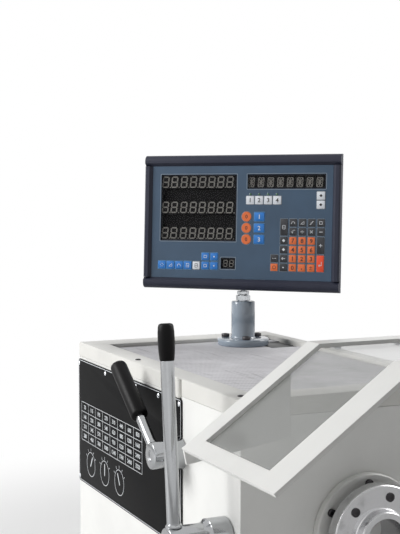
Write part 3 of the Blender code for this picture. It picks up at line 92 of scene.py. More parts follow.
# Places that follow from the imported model
COVER_LOW, COVER_HIGH = span("top_cover")
MAT_LOW, MAT_HIGH = span("cover_mat")
LABEL_LOW, LABEL_HIGH = span("label_plate")
FOOT_LOW, FOOT_HIGH = span("pedestal_flange")
TUBE_LOW, TUBE_HIGH = span("pedestal_tube")
POST = (TUBE_LOW + TUBE_HIGH) / 2
TOP = COVER_HIGH.z
FRONT = COVER_LOW.y
RIGHT = COVER_HIGH.x
LEFT = COVER_LOW.x
SPIN_Z = sum(p.z for p in span("spindle")) / 2

# Console, in its own frame: X right, Y back, Z up, origin on the ridge of its frame
TURN = radians(45)
TILT = radians(-3.3)
HEIGHT = 0.1915
DEPTH = 0.054
RIDGE = 0.0040
UNDERSIDE_GAP = 0.0156       # from the pedestal's top to the console
RIDGE_TO_POST = 0.024
PANEL_Y = RIDGE / 2          # front of the keypad film
KEY_FRONT = 0.0014
PRINT = 0.00008              # thickness of a printed line or numeral


def console_frame():
    """The console's own frame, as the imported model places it."""
    turn = Matrix.Rotation(TURN, 4, "Z") @ Matrix.Rotation(TILT, 4, "X")
    at = Vector((POST.x, POST.y, TUBE_HIGH.z + UNDERSIDE_GAP))
    return Matrix.Translation(at - turn @ Vector((0, RIDGE_TO_POST, -HEIGHT / 2))) @ turn


CONSOLE = console_frame()

# Panel layout: windows as centre x, centre z, width, height
WINDOWS = {"axis_window": (-0.0629, 0.0205, 0.1142, 0.0941),
           "message_window": (0.0670, 0.0578, 0.1124, 0.0198),
           "function_window": (-0.0166, -0.0581, 0.0206, 0.0152)}
PAD_X, PAD_Z, PAD_DX, PAD_DZ, KEY = 0.0782, -0.0622, 0.0132, 0.0125, 0.0102
MENU_X, MENU_Z, MENU_DX = 0.0149, 0.0316, 0.0132
ARROW_X, ARROW_Z, ARROW_DZ = 0.1170, 0.0380, 0.0125
AXIS_X, AXIS_Z, AXIS_DZ, AXIS_R = 0.0100, 0.0084, 0.0160, 0.0070
SELECT_X = 0.0289
FUNCTION_X, FUNCTION_Z, FUNCTION_DX = -0.1170, -0.0620, 0.0132
STACK_X, STACK_Z = -0.0505, -0.0490
SQUARE = (KEY, KEY)
TALL = (KEY, KEY + PAD_DZ)


def pad(column, row):
    """A place on the number pad: column 0 and row 0 hold the zero."""
    return PAD_X + PAD_DX * column, PAD_Z + PAD_DZ * row


# Key groups: finish, and each key's (x, z), size and mark
KEYS = {
    "digit_keys": ("orange_key", [
        (pad(c, r), SQUARE, mark) for (c, r), mark in {
            (0, 3): "7", (1, 3): "8", (2, 3): "9", (0, 2): "4", (1, 2): "5", (2, 2): "6",
            (0, 1): "1", (1, 1): "2", (2, 1): "3", (0, 0): "0", (1, 0): ".", (2, 0): "±",
            (-2, 0): "ring"}.items()]),
    "operator_keys": ("black_key", [
        (pad(c, r), SQUARE, mark) for (c, r), mark in {
            (-1, 0): "dot", (-1, 1): "left", (-1, 2): "up", (-1, 3): "down", (-2, 1): "dots",
            (0, 4): "root", (1, 4): "÷", (2, 4): "×", (3, 4): "minus",
            (0, 5): "arc", (1, 5): "slope", (2, 5): "steps", (3, 5): "square"}.items()] + [
        (pad(-1, 4.5), TALL, "half"), (pad(3, 2.5), TALL, "plus")]),
    "enter_key": ("red_key", [(pad(3, 0.5), TALL, "return")]),
    "axis_select_keys": ("blue_key", [
        ((SELECT_X, AXIS_Z - AXIS_DZ * i), (0.0147, 0.0120), str(i + 1)) for i in range(3)]),
    "function_keys": ("blue_key", [
        ((FUNCTION_X + FUNCTION_DX * i, FUNCTION_Z), (0.0117, 0.0110), mark)
        for i, mark in enumerate(("holes", "slope", "arc", "half"))] + [
        ((STACK_X + FUNCTION_DX * i, z), (0.0109, 0.0102), "dot" if i else "square")
        for i in range(2) for z in (FUNCTION_Z, STACK_Z)]),
    "menu_keys": ("white_key", [
        ((MENU_X + MENU_DX * i, MENU_Z), (0.0116, 0.0116), mark)
        for i, mark in enumerate(("1", "2", "3", "4"))] + [
        ((ARROW_X, ARROW_Z - ARROW_DZ * i), (0.0116, 0.0112), mark)
        for i, mark in enumerate(("up", "down"))]),
    "inch_metric_key": ("white_key", [
        ((FUNCTION_X + 4 * FUNCTION_DX, FUNCTION_Z), (0.0106, 0.0110), "half")]),
}


def tint(red, green, blue):
    """A colour given as 0 to 255 on screen, in the linear values that shaders take."""
    def linear(level):
        level /= 255
        return level / 12.92 if level <= 0.04045 else ((level + 0.055) / 1.055) ** 2.4
    return linear(red), linear(green), linear(blue)


# ---------------------------------------------------------------- shader maths

class Link:
    """A number socket: Python's operators on it add the Math nodes that do the same."""

    def __init__(self, finish, socket):
        self.finish = finish
        self.socket = socket

    def math(self, operation, *values, clamp=False):
        settings = {"operation": operation, "use_clamp": clamp}
        return self.finish.node("ShaderNodeMath", settings, dict(enumerate(values)))

    def __add__(self, other):
        return self.math("ADD", self, other)

    def __sub__(self, other):
        return self.math("SUBTRACT", self, other)

    def __mul__(self, other):
        return self.math("MULTIPLY", self, other)

    def __rsub__(self, other):
        return self.math("SUBTRACT", other, self)

    __radd__ = __add__
    __rmul__ = __mul__

    def step(self, low, high):
        """0 below one level, 1 above another, and smooth between them."""
        return self.finish.node("ShaderNodeMapRange", {"interpolation_type": "SMOOTHSTEP"},
                                {0: self, 1: low, 2: high, 3: 0.0, 4: 1.0})

    def clamp(self):
        return self.math("ADD", self, 0.0, clamp=True)

    def sine(self):
        return self.math("SINE", self)


class Finish:
    """A material whose Principled shader is fed by nodes on object coordinates."""

    def __init__(self, name, colour, roughness, metallic=0.0, **constants):
        self.material = bpy.data.materials.new(name)
        self.material.use_nodes = True
        self.tree = self.material.node_tree
        self.tree.nodes.clear()
        self.shader = self.tree.nodes.new("ShaderNodeBsdfPrincipled")
        output = self.tree.nodes.new("ShaderNodeOutputMaterial")
        self.tree.links.new(self.shader.outputs[0], output.inputs[0])
        self.shader.inputs["Base Color"].default_value = (*colour, 1)
        self.shader.inputs["Roughness"].default_value = roughness
        self.shader.inputs["Metallic"].default_value = metallic
        for socket, value in constants.items():
            self.shader.inputs[socket.replace("_", " ")].default_value = value
        self.point = self.node("ShaderNodeTexCoord", out=3)

    def node(self, kind, settings=None, values=None, out=0):
        made = self.tree.nodes.new(kind)
        for key, value in (settings or {}).items():
            setattr(made, key, value)
        for socket, value in (values or {}).items():
            self.feed(made.inputs[socket], value)
        return Link(self, made.outputs[out])

    def feed(self, socket, value):
        if isinstance(value, Link):
            self.tree.links.new(value.socket, socket)
        else:
            socket.default_value = value

    def set(self, socket, value):
        self.feed(self.shader.inputs[socket], value)

    def mix(self, factor, first, second):
        """A colour between two, by a factor."""
        first, second = [(*c, 1) if isinstance(c, tuple) else c for c in (first, second)]
        return self.node("ShaderNodeMix", {"data_type": "RGBA"}, {0: factor, 6: first, 7: second}, out=2)

    def stretch(self, scale=(1, 1, 1), turn=(0, 0, 0)):
        """Object coordinates, scaled and turned."""
        return self.node("ShaderNodeMapping", {}, {0: self.point, 2: turn, 3: scale})

    def noise(self, size, detail=3.0, roughness=0.55, at=None):
        """Noise whose features are about a size across, in metres."""
        return self.node("ShaderNodeTexNoise", {}, {
            "Vector": at or self.point, "Scale": 1 / size, "Detail": detail, "Roughness": roughness})

    def axis(self, index):
        return self.node("ShaderNodeSeparateXYZ", {}, {0: self.point}, out=index)

    def edges(self, width):
        """1 along edges sharper than the width, and 0 on the open faces; with its rounded normal."""
        soft = self.node("ShaderNodeBevel", {"samples": 4}, {"Radius": width})
        flat = self.node("ShaderNodeNewGeometry", out=1)
        lean = self.node("ShaderNodeVectorMath", {"operation": "DOT_PRODUCT"}, {0: soft, 1: flat}, out=1)
        return (1 - lean).step(0.02, 0.22), soft

    def bump(self, height, distance, strength=1.0, normal=None):
        values = {"Strength": strength, "Distance": distance, "Height": height}
        if normal:
            values["Normal"] = normal
        self.set("Normal", self.node("ShaderNodeBump", {}, values))


def painted(name, colour, roughness=0.33, wear=(0.78, 0.78, 0.76), soft_edge=0.0008, dust=0.10, **constants):
    """Sprayed enamel: orange peel, uneven gloss, dulled edges and a little dust."""
    finish = Finish(name, colour, roughness, **constants)
    patch = finish.noise(0.11, 4)
    peel = finish.noise(0.0022, 2)
    specks = finish.noise(0.0035, 5, 0.7)
    edge, soft = finish.edges(soft_edge)
    rubbed = (edge * finish.noise(0.006, 4).step(0.42, 0.62) * 0.5).clamp()
    dull = tuple(c * (1 - dust) + 0.30 * dust for c in colour)
    base = finish.mix(patch.step(0.35, 0.72), colour, dull)
    base = finish.mix(specks.step(0.70, 0.78) * 0.35, base, tuple(c * 0.6 for c in colour))
    finish.set("Base Color", finish.mix(rubbed, base, wear))
    finish.set("Roughness", (roughness + (patch - 0.5) * 0.16 + specks * 0.06 + edge * 0.10).clamp())
    finish.bump(peel * 0.6 + specks * 0.4, 0.00005, 0.5, soft)
    return finish


def metal(name, colour, roughness=0.25, grain=(1, 1, 1), grain_size=0.0012, stain=0.12, soft_edge=0.0006,
          dirt=(0.05, 0.045, 0.04)):
    """Bare or plated metal: drawn grain, uneven gloss, brighter edges and light staining."""
    finish = Finish(name, colour, roughness, 1.0)
    lines = finish.noise(grain_size, 3, 0.6, finish.stretch(grain))
    patch = finish.noise(0.018, 5, 0.6)
    edge, soft = finish.edges(soft_edge)
    base = finish.mix(patch.step(0.52, 0.80) * stain * 4, colour, dirt)
    finish.set("Base Color", finish.mix(edge * 0.5, base, tuple(min(1, c * 1.25) for c in colour)))
    finish.set("Roughness", (roughness + (lines - 0.5) * 0.22 + patch * 0.10 - edge * 0.05).clamp())
    finish.bump(lines, 0.00003, 0.5, soft)
    return finish


def moulded(name, colour, roughness=0.42, grain=0.0009, depth=0.00003, worn=None, soft_edge=0.0005,
            **constants):
    """Moulded plastic or rubber: fine spark texture, rubbed lighter where it is touched."""
    finish = Finish(name, colour, roughness, **constants)
    spark = finish.noise(grain, 2, 0.6)
    patch = finish.noise(0.02, 4)
    edge, soft = finish.edges(soft_edge)
    worn = worn or tuple(c * 0.75 + 0.06 for c in colour)
    wear = (edge * 0.45 + patch.step(0.55, 0.85) * 0.15).clamp()
    finish.set("Base Color", finish.mix(wear, colour, worn))
    finish.set("Roughness", (roughness + (spark - 0.5) * 0.15 + (patch - 0.5) * 0.12).clamp())
    finish.bump(spark, depth, 0.6, soft)
    return finish


def mat_finish(colour):
    """Ribbed rubber sheet: a fine lattice of long studs, darkened in the troughs between them as painted
    shade, with scuffs and dust.
    """
    finish = Finish("ribbed_mat", colour, 0.62)
    pitch, reach = 0.0032, 0.022
    east, north = finish.axis(0), finish.axis(1)
    across = (east * 0.42 + north * 0.91) * (2 * pi / pitch)
    deep = (north * 0.42 - east * 0.91) * (2 * pi / reach)
    rising, falling = (across + deep).sine(), (across - deep).sine()
    crest = (rising * falling * 0.5 + 0.5).clamp()
    patch = finish.noise(0.06, 5, 0.6)
    scuff = finish.noise(0.022, 6, 0.68, finish.stretch((0.25, 2.6, 1), (0, 0, -1.05)))
    dark = tuple(c * 0.48 for c in colour)
    pale = tuple(min(1, c * 1.22) for c in colour)
    # The troughs between the studs are darkened: painted shade.
    base = finish.mix(crest.step(0.05, 0.60), dark, colour)
    base = finish.mix(patch.step(0.40, 0.75) * 0.55, base, pale)
    finish.set("Base Color", finish.mix(scuff.step(0.55, 0.72) * 0.55, base, tuple(c * 0.42 for c in colour)))
    finish.set("Roughness", (0.50 + crest * 0.12 + scuff * 0.15).clamp())
    finish.bump(crest, 0.00018, 0.8)
    return finish


def film_finish(colour):
    """Printed keypad film: a fine matt grain and slow tone changes."""
    finish = Finish("panel_film", colour, 0.42)
    grain = finish.noise(0.0006, 2, 0.7)
    patch = finish.noise(0.05, 3)
    lighter = tuple(min(1, c * 1.22) for c in colour)
    base = finish.mix(patch.step(0.3, 0.75), colour, lighter)
    finish.set("Base Color", finish.mix(grain.step(0.55, 0.75) * 0.25, base, tuple(c * 0.75 for c in colour)))
    finish.set("Roughness", (0.36 + grain * 0.14 + patch * 0.05).clamp())
    finish.bump(grain, 0.00002, 0.5)
    return finish


def clear_finish(name, colour, alpha, roughness, gloss=0.5):
    """A clear or smoked sheet with fine rubbing marks."""
    finish = Finish(name, colour, roughness, IOR=1.49, Specular_IOR_Level=gloss)
    marks = finish.noise(0.004, 5, 0.7, finish.stretch((1, 6, 1), (0.3, 0.2, 0.6)))
    haze = finish.noise(0.07, 4)
    finish.set("Roughness", (roughness + marks.step(0.55, 0.75) * 0.10 + haze * 0.05).clamp())
    finish.set("Alpha", (alpha + marks.step(0.62, 0.80) * 0.10 + (haze - 0.5) * 0.06).clamp())
    return finish


def board_finish():
    """Circuit board: solder mask over tracks on a fine grid."""
    finish = Finish("board_green", (0.012, 0.11, 0.045), 0.35)
    across = (finish.axis(0) * (2 * pi / 0.0025)).sine()
    along = (finish.axis(2) * (2 * pi / 0.0025)).sine()
    tracks = across * finish.noise(0.02).step(0.45, 0.55) + along * finish.noise(0.03).step(0.5, 0.6)
    finish.set("Base Color", finish.mix(tracks.step(0.55, 0.8), (0.012, 0.11, 0.045), (0.03, 0.22, 0.10)))
    finish.bump(tracks.clamp(), 0.00003, 0.6)
    return finish


# ---------------------------------------------------------------- modelling helpers

def deselect():
    """Leaves edit mode and empties the selection, so that an operator acts on its own piece only."""
    if bpy.context.object and bpy.context.object.mode == "EDIT":
        bpy.ops.object.mode_set(mode="OBJECT")
    bpy.ops.object.select_all(action="DESELECT")


def activate(piece):
    deselect()
    piece.select_set(True)
    bpy.context.view_layer.objects.active = piece


def edit(piece):
    activate(piece)
    bpy.ops.object.mode_set(mode="EDIT")


def end_edit():
    bpy.ops.object.mode_set(mode="OBJECT")


def close():
    """Turns every face outwards and leaves edit mode."""
    bpy.ops.mesh.select_all(action="SELECT")
    bpy.ops.mesh.normals_make_consistent(inside=False)
    end_edit()


def pick(piece, test):
    """In edit mode, selects the edges whose middle and direction pass a test."""
    bpy.ops.mesh.select_mode(type="EDGE")
    bpy.ops.mesh.select_all(action="DESELECT")
    end_edit()
    mesh = piece.data
    for edge in mesh.edges:
        a, b = (mesh.vertices[i].co for i in edge.vertices)
        edge.select = test((a + b) / 2, (b - a).normalized())
    bpy.ops.object.mode_set(mode="EDIT")


def settle(piece, matrix=None):
    """Applies a piece's own place, then a frame's, so that its object sits at the origin."""
    activate(piece)
    bpy.ops.object.transform_apply(location=True, rotation=True, scale=True)
    if matrix is not None:
        piece.matrix_world = matrix
        bpy.ops.object.transform_apply(location=True, rotation=True, scale=True)
    return piece


def block(name, low, high, edge=0.0, segments=2):
    """A squared piece between two corners, with its edges rounded."""
    low, high = Vector(low), Vector(high)
    deselect()
    bpy.ops.mesh.primitive_cube_add(size=1, location=(low + high) / 2, scale=high - low)
    piece = bpy.context.object
    piece.name = name
    settle(piece)
    if edge:
        soften(piece, edge, segments)
    return piece


def soften(piece, width, segments=2, angle=30):
    apply(piece, "BEVEL", width=width, segments=segments, limit_method="ANGLE", angle_limit=radians(angle),
          harden_normals=False)


def apply(piece, kind, **settings):
    activate(piece)
    step = piece.modifiers.new(kind.lower(), kind)
    for key, value in settings.items():
        setattr(step, key, value)
    bpy.ops.object.modifier_apply(modifier=step.name)


def carve(piece, *cutters, operation="DIFFERENCE"):
    """Takes cutters away from a piece (or adds them), then removes them."""
    for cutter in cutters:
        apply(piece, "BOOLEAN", object=cutter, operation=operation, solver="EXACT", use_self=True)
        bpy.data.objects.remove(cutter, do_unlink=True)
    return piece


def turned(name, profile, sides=48, matrix=None):
    """A round piece: a disc, extruded and scaled along its profile of (radius, height) steps."""
    deselect()
    radius, height = profile[0]
    bpy.ops.mesh.primitive_circle_add(vertices=sides, radius=radius, fill_type="NGON",
                                      location=(0, 0, height))
    piece = bpy.context.object
    piece.name = name
    settle(piece)
    edit(piece)
    bpy.ops.mesh.select_all(action="SELECT")
    for new_radius, new_height in profile[1:]:
        bpy.ops.mesh.extrude_region_move(TRANSFORM_OT_translate={"value": (0, 0, new_height - height)})
        share = new_radius / radius
        if abs(share - 1) > 1e-9:
            bpy.ops.transform.resize(value=(share, share, 1), center_override=(0, 0, new_height))
        radius, height = new_radius, new_height
    close()
    return settle(piece, matrix)


def along(point, direction):
    """A frame whose Z axis points along a direction, with its origin at a point."""
    return Matrix.Translation(point) @ Vector(direction).to_track_quat("Z", "Y").to_matrix().to_4x4()


def plate(name, width, height, radius, thickness, segments=4, line=None):
    """A flat piece with rounded corners in X and Z, its front at y = 0. With a line, only its border."""
    deselect()
    bpy.ops.mesh.primitive_plane_add(size=1, rotation=(pi / 2, 0, 0))
    piece = bpy.context.object
    piece.name = name
    piece.scale = (width, height, 1)
    settle(piece)
    edit(piece)
    bpy.ops.mesh.select_all(action="SELECT")
    bpy.ops.mesh.bevel(offset=radius, segments=segments, affect="VERTICES")
    if line:
        bpy.ops.mesh.inset(thickness=line)
        bpy.ops.mesh.delete(type="FACE")
        bpy.ops.mesh.select_all(action="SELECT")
    bpy.ops.mesh.extrude_region_move(TRANSFORM_OT_translate={"value": (0, thickness, 0)})
    close()
    return piece


def outline(name, width, height, radius, line, segments=4):
    """A thin raised line round a rectangle with rounded corners."""
    return plate(name, width, height, radius, PRINT, segments, line)


def bar(start, end, width, thickness=PRINT, point=0.0):
    """A flat bar between two (x, z) points, its front at y = 0; its ends may be pointed."""
    (x0, z0), (x1, z1) = start, end
    length = ((x1 - x0) ** 2 + (z1 - z0) ** 2) ** 0.5
    deselect()
    bpy.ops.mesh.primitive_cube_add(size=1, scale=(length, thickness, width))
    piece = bpy.context.object
    settle(piece)
    if point:
        edit(piece)
        pick(piece, lambda at, way: abs(way.y) > 0.9)
        bpy.ops.mesh.bevel(offset=point, segments=1, affect="EDGES")
        end_edit()
    middle = Vector(((x0 + x1) / 2, thickness / 2, (z0 + z1) / 2))
    return settle(piece, Matrix.Translation(middle) @ Matrix.Rotation(-atan2(z1 - z0, x1 - x0), 4, "Y"))


def numeral(text, size):
    """A number in the built-in face, as a mesh that stands upright, its front at y = 0."""
    deselect()
    bpy.ops.object.text_add()
    piece = bpy.context.object
    piece.data.body = text
    piece.data.offset = 0.018 * size    # bolder than the plain face
    piece.data.size = size
    piece.data.extrude = PRINT / 2
    piece.data.resolution_u = 2
    piece.data.align_x = "CENTER"
    piece.data.align_y = "CENTER"
    bpy.ops.object.convert(target="MESH")
    piece = bpy.context.object
    low = [min(v.co[i] for v in piece.data.vertices) for i in range(3)]
    high = [max(v.co[i] for v in piece.data.vertices) for i in range(3)]
    piece.data.transform(Matrix.Translation([-(a + b) / 2 for a, b in zip(low, high)]))
    upright = Matrix.Translation((0, PRINT / 2, 0)) @ Matrix.Rotation(pi / 2, 4, "X")
    return settle(piece, upright)


def copy_of(piece, matrix):
    """A copy with its own mesh, moved by a matrix."""
    twin = piece.copy()
    twin.data = piece.data.copy()
    bpy.context.scene.collection.objects.link(twin)
    twin.data.transform(matrix)
    return twin


def spread(piece, places, matrix=None):
    """Copies of a piece at several places, in one list; the first model is removed."""
    base = matrix or Matrix.Identity(4)
    made = [copy_of(piece, Matrix.Translation(Vector(place)) @ base) for place in places]
    bpy.data.objects.remove(piece, do_unlink=True)
    return made


def merged(name, pieces, matrix=None):
    """Several shapes as one piece."""
    activate(pieces[0])
    for piece in pieces:
        piece.select_set(True)
    if len(pieces) > 1:
        bpy.ops.object.join()
    piece = bpy.context.view_layer.objects.active
    piece.name = name
    return settle(piece, matrix)


def scatter(name, model, places, finish, body, turn=None, frame=None):
    """Copies of a small piece at several places, as one dressed piece."""
    return dress(merged(name, spread(model, places, turn), frame), finish, body)


def dress(piece, finish, body, replaces=(), angle=35, slot=None):
    """Gives a finished piece its material, its body and the nodes that it stands for; its slot argument is
    not used.
    """
    slot = slot or finish
    activate(piece)
    bpy.ops.object.shade_smooth_by_angle(angle=radians(angle))
    piece.data.materials.clear()
    piece.data.materials.append(FINISHES[finish].material)
    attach(piece, body)
    if replaces:
        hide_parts(*replaces)
    return piece


FINISHES = {}


# ---------------------------------------------------------------- settings

class HeadstockSizes(bpy.types.PropertyGroup):
    """Sizes of the fine pieces."""
    cover_edge: FloatProperty(name="Cover edge", description="Rounding of the top cover's edges",
                              default=0.0016, min=0.0002, max=0.005, unit="LENGTH")
    rim_sides: IntProperty(name="Round sides", description="Sides of a large round piece", default=64, min=24)
    scallop: FloatProperty(name="Scallop", description="Radius of the scallops on the mat's left edge",
                           default=0.0024, min=0.001, max=0.006, unit="LENGTH")
    key_corner: FloatProperty(name="Key corner", description="Corner radius of the square keys",
                              default=0.0009, min=0.0002, max=0.003, unit="LENGTH")
    key_line: FloatProperty(name="Key line", description="Width of the pale line round each key",
                            default=0.00055, min=0.0001, max=0.002, unit="LENGTH")
    digit_height: FloatProperty(name="Digit height", description="Height of the large axis digits",
                                default=0.0164, min=0.005, max=0.02, unit="LENGTH")
    digit_slant: FloatProperty(name="Digit slant", description="Lean of the digits, as a share of height",
                               default=0.10, min=0.0, max=0.3, subtype="FACTOR")


class HeadstockColours(bpy.types.PropertyGroup):
    """Colours of the finishes."""
    enamel: FloatVectorProperty(name="White enamel", description="Paint of the housing and the guard",
                                default=tint(241, 241, 238), subtype="COLOR", size=3)
    # The cover's paint is the housing's white enamel made greyer: painted shade on the cover.
    rim: FloatVectorProperty(name="Cover enamel", description="Paint of the top cover",
                             default=tint(226, 225, 220), subtype="COLOR", size=3)
    mat: FloatVectorProperty(name="Mat", description="Rubber of the tray's mat",
                             default=tint(217, 216, 219), subtype="COLOR", size=3)
    post: FloatVectorProperty(name="Pedestal", description="Paint of the pedestal",
                              default=tint(141, 153, 166), subtype="COLOR", size=3)
    case: FloatVectorProperty(name="Console frame", description="Paint of the console's frame",
                              default=tint(36, 39, 56), subtype="COLOR", size=3)
    panel: FloatVectorProperty(name="Panel film", description="Film of the console's keypad",
                               default=tint(54, 76, 98), subtype="COLOR", size=3)
    orange: FloatVectorProperty(name="Orange keys", description="Number keys",
                                default=tint(228, 112, 56), subtype="COLOR", size=3)
    blue: FloatVectorProperty(name="Blue keys", description="Axis and function keys",
                              default=tint(34, 120, 202), subtype="COLOR", size=3)
    red: FloatVectorProperty(name="Enter key", description="The tall key at the bottom right",
                             default=tint(240, 78, 40), subtype="COLOR", size=3)


class Maker:
    """What every operator here shares: it reads the settings and builds its pieces."""
    bl_options = {"REGISTER", "UNDO"}

    def execute(self, context):
        self.build(context.scene.headstock_sizes, context.scene.headstock_colours)
        return {"FINISHED"}


# ---------------------------------------------------------------- finishes

class HEADSTOCK_OT_finishes(Maker, bpy.types.Operator):
    """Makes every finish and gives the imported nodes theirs"""
    bl_idname = "headstock.finishes"
    bl_label = "Finishes"

    def build(self, sizes, colours):
        def add(make, name, *values, **constants):
            FINISHES[name] = make(name, *values, **constants)
        add(painted, "white_enamel", tuple(colours.enamel), 0.30, (0.55, 0.55, 0.54))
        # A greyer copy of the white enamel for the cover and the front bead, its grey being painted shade; it
        # also takes more dust.
        add(painted, "rim_enamel", tuple(colours.rim), 0.34, (0.50, 0.50, 0.50), dust=0.16)
        add(painted, "post_enamel", tuple(colours.post), 0.14, (0.42, 0.46, 0.52), dust=0.03,
            Coat_Weight=0.6, Coat_Roughness=0.08)
        add(painted, "frame_paint", tuple(colours.case), 0.40, (0.16, 0.16, 0.19), 0.0006, 0.03,
            Specular_IOR_Level=0.32)
        add(moulded, "shell_paint", tint(50, 51, 60), 0.48, 0.0011)
        add(painted, "black_label", tint(15, 15, 16), 0.50, (0.10, 0.10, 0.10), 0.0003, 0.01,
            Specular_IOR_Level=0.06)
        FINISHES["grey_mat"] = mat_finish(tuple(colours.mat))
        FINISHES["panel_film"] = film_finish(tuple(colours.panel))
        add(clear_finish, "smoked_lens", (0.004, 0.004, 0.005), 0.22, 0.12, 0.2)
        add(clear_finish, "clear_sheet", (0.36, 0.37, 0.36), 0.30, 0.06, 0.3)
        add(moulded, "orange_key", tuple(colours.orange), 0.36, Coat_Weight=0.2)
        add(moulded, "black_key", tint(25, 27, 34), 0.34, Coat_Weight=0.2)
        add(moulded, "red_key", tuple(colours.red), 0.36, Coat_Weight=0.2)
        add(moulded, "blue_key", tuple(colours.blue), 0.34, Coat_Weight=0.2)
        add(moulded, "white_key", tint(228, 232, 238), 0.38, worn=(0.62, 0.63, 0.63))
        add(moulded, "key_line", tint(142, 154, 166), 0.40)
        add(moulded, "blue_line", tint(106, 166, 216), 0.40)
        add(moulded, "pale_ink", tint(226, 230, 234), 0.45)
        add(moulded, "dark_ink", tint(22, 14, 18), 0.45)
        add(moulded, "segment", tint(200, 197, 190), 0.50, Specular_IOR_Level=0.2)
        add(moulded, "digit_block", tint(12, 12, 14), 0.5, Specular_IOR_Level=0.2)
        add(moulded, "lamp_green", tint(48, 96, 62), 0.15, Coat_Weight=0.6)
        # Black for the plates that stand in for shade in the tray's slot and under the louvres: painted
        # shade.
        add(moulded, "socket_black", tint(26, 26, 27), 0.44, 0.0010)
        add(moulded, "grip_black", tint(14, 13, 14), 0.42, 0.004, 0.00002, (0.02, 0.02, 0.02),
            Specular_IOR_Level=0.12)
        FINISHES["board_green"] = board_finish()
        add(metal, "chrome", (0.40, 0.41, 0.42), 0.10, (1, 1, 0.1), 0.0010, 0.04)
        add(metal, "zinc", (0.86, 0.89, 0.92), 0.20, (1, 1, 1), 0.0018, 0.10)
        add(metal, "black_oxide", (0.055, 0.052, 0.055), 0.34, (1, 1, 1), 0.0012, 0.05)
        add(metal, "plated_steel", (0.60, 0.61, 0.60), 0.28, (6, 1, 1), 0.002, 0.08)
        add(metal, "cast_steel", (0.30, 0.30, 0.31), 0.40, (1, 1, 1), 0.0016, 0.15)
        add(metal, "gear_steel", (0.45, 0.45, 0.45), 0.32, (8, 1, 1), 0.0015, 0.15)
        add(metal, "ground_steel", (0.62, 0.62, 0.63), 0.18, (0.15, 1, 1), 0.0008, 0.08)
        for part in frame["record"]["subparts"]:
            for slot in frame["nodes"][part["node"]].material_slots:
                slot.material = FINISHES[part["material_slot"]].material


# ---------------------------------------------------------------- headstock

def rim_screws():
    """Places of the cover's screws, on its rim."""
    inset = 0.0100
    return [(x, y, TOP) for x in (-0.054, RIGHT - 2 * inset) for y in (FRONT + inset, COVER_HIGH.y - inset)]


def socket_screw(name, radius, height, sides=20):
    """A socket screw's head, from z = 0 up, with its round socket."""
    return turned(name, [(radius * 0.96, -0.0006), (radius, 0.0002), (radius, height * 0.82),
                         (radius * 0.90, height), (radius * 0.52, height), (radius * 0.50, height * 0.9),
                         (radius * 0.50, height * 0.45)], sides)


def pan_screw(name, radius, height, sides=20):
    """A pan-head screw from z = 0 up, with a cross recess."""
    head = turned(name, [(radius, 0), (radius, height * 0.35), (radius * 0.82, height * 0.85),
                         (radius * 0.5, height)], sides)
    arm, deep = radius * 0.62, height * 0.55
    cross = merged("cross", [block("arm_a", (-arm, -radius * 0.11, deep), (arm, radius * 0.11, height * 2)),
                             block("arm_b", (-radius * 0.11, -arm, deep), (radius * 0.11, arm, height * 2))])
    return carve(head, cross)


